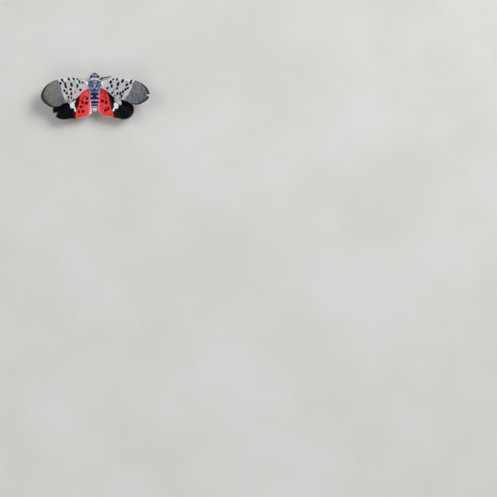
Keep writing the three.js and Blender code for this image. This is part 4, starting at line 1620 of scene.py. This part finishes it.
def claw_shells(ankle, toe):
    """Two claws and the pad between them."""
    toe = np.array([*toe, FOOT_HEIGHT])
    run = toe - (*ankle, FOOT_HEIGHT)
    run /= np.linalg.norm(run)
    across = np.cross(run, (0, 0, 1))
    shells = [limb(toe - run * 0.05, toe + run * 0.26, (0.1, 0.15, 0.12), 12)]
    for side in (1, -1):
        out = across * side
        hook = [toe, toe + run * 0.2 + out * 0.16, toe + run * 0.34 + out * 0.22 - (0, 0, 0.16)]
        shells.append(tube(smooth_line(hook, 10), np.linspace(0.06, 0.012, 10), 8))
    return merged(shells)


print("faces of a foot's claws:", len(claw_shells(*LEGS["foreleg_left"][2:])[1]))

# %% Build the legs
for name, (hip, knee, ankle, toe) in LEGS.items():
    add_piece(name, leg_shells(name, hip, knee, ankle, toe), LEG_FINISH, replaces=[name])
    add_piece(name + "_claws", claw_shells(ankle, toe), LEG_FINISH)

# %% [markdown]
# ## Floor
# The insect stands on a plain pale floor, which catches the shadow of its wings. A curved backdrop could
# hide the far edge, but from this camera a large square reaches past the picture on all sides.

# %% Make the floor
FLOOR_HALF = 2.0  # metres
made, tree, shader = finish_of("floor", 0.9, Specular_IOR_Level=0.2)
base = mixed(tree, ramp(tree, noise(tree, 0.02), 0.3, 0.7), colour(214, 212, 208), colour(222, 220, 217))
tree.links.new(base, shader.inputs["Base Color"])
floor_mesh = bpy.data.meshes.new("floor")
corners = [(FLOOR_HALF * a, FLOOR_HALF * b, 0) for a, b in ((-1, -1), (1, -1), (1, 1), (-1, 1))]
floor_mesh.from_pydata(corners, [], [(0, 1, 2, 3)])
floor_mesh.materials.append(made)
floor = bpy.data.objects.new("floor", floor_mesh)
bpy.context.scene.collection.objects.link(floor)
print("the floor is", 2 * FLOOR_HALF, "m wide")

# %% [markdown]
# ## Light
# One strong lamp and two weak ones stand round the insect. A sun would draw hard shadows, while lamps half a
# metre wide are large beside a body of 17 mm and light it softly. Colours are shown without a film look,
# so that the red stays as it was mixed.

# %% Lamps and background
LAMPS = (
    # place in metres, width in metres, power in watts
    ((-0.5, -0.35, 0.6), 0.5, 5.2),
    ((0.6, -0.1, 0.5), 0.5, 1.9),
    ((0.1, 0.7, 0.45), 0.5, 1.7),
)
for i, (place, width, power) in enumerate(LAMPS):
    light = bpy.data.lights.new(f"lamp_{i}", "AREA")
    light.size = width
    light.energy = power
    lamp = bpy.data.objects.new(f"lamp_{i}", light)
    lamp.location = place
    lamp.rotation_mode = "QUATERNION"
    lamp.rotation_quaternion = (-Vector(place)).to_track_quat("-Z", "Y")
    bpy.context.scene.collection.objects.link(lamp)
world = bpy.data.worlds.new("pale_room")
world.use_nodes = True
world.node_tree.nodes["Background"].inputs["Color"].default_value = colour(232, 234, 238)
world.node_tree.nodes["Background"].inputs["Strength"].default_value = 0.24
bpy.context.scene.world = world
bpy.context.scene.view_settings.view_transform = "Standard"
print("lamps:", len(LAMPS), "with", round(sum(power for _, _, power in LAMPS), 1), "watts in all")
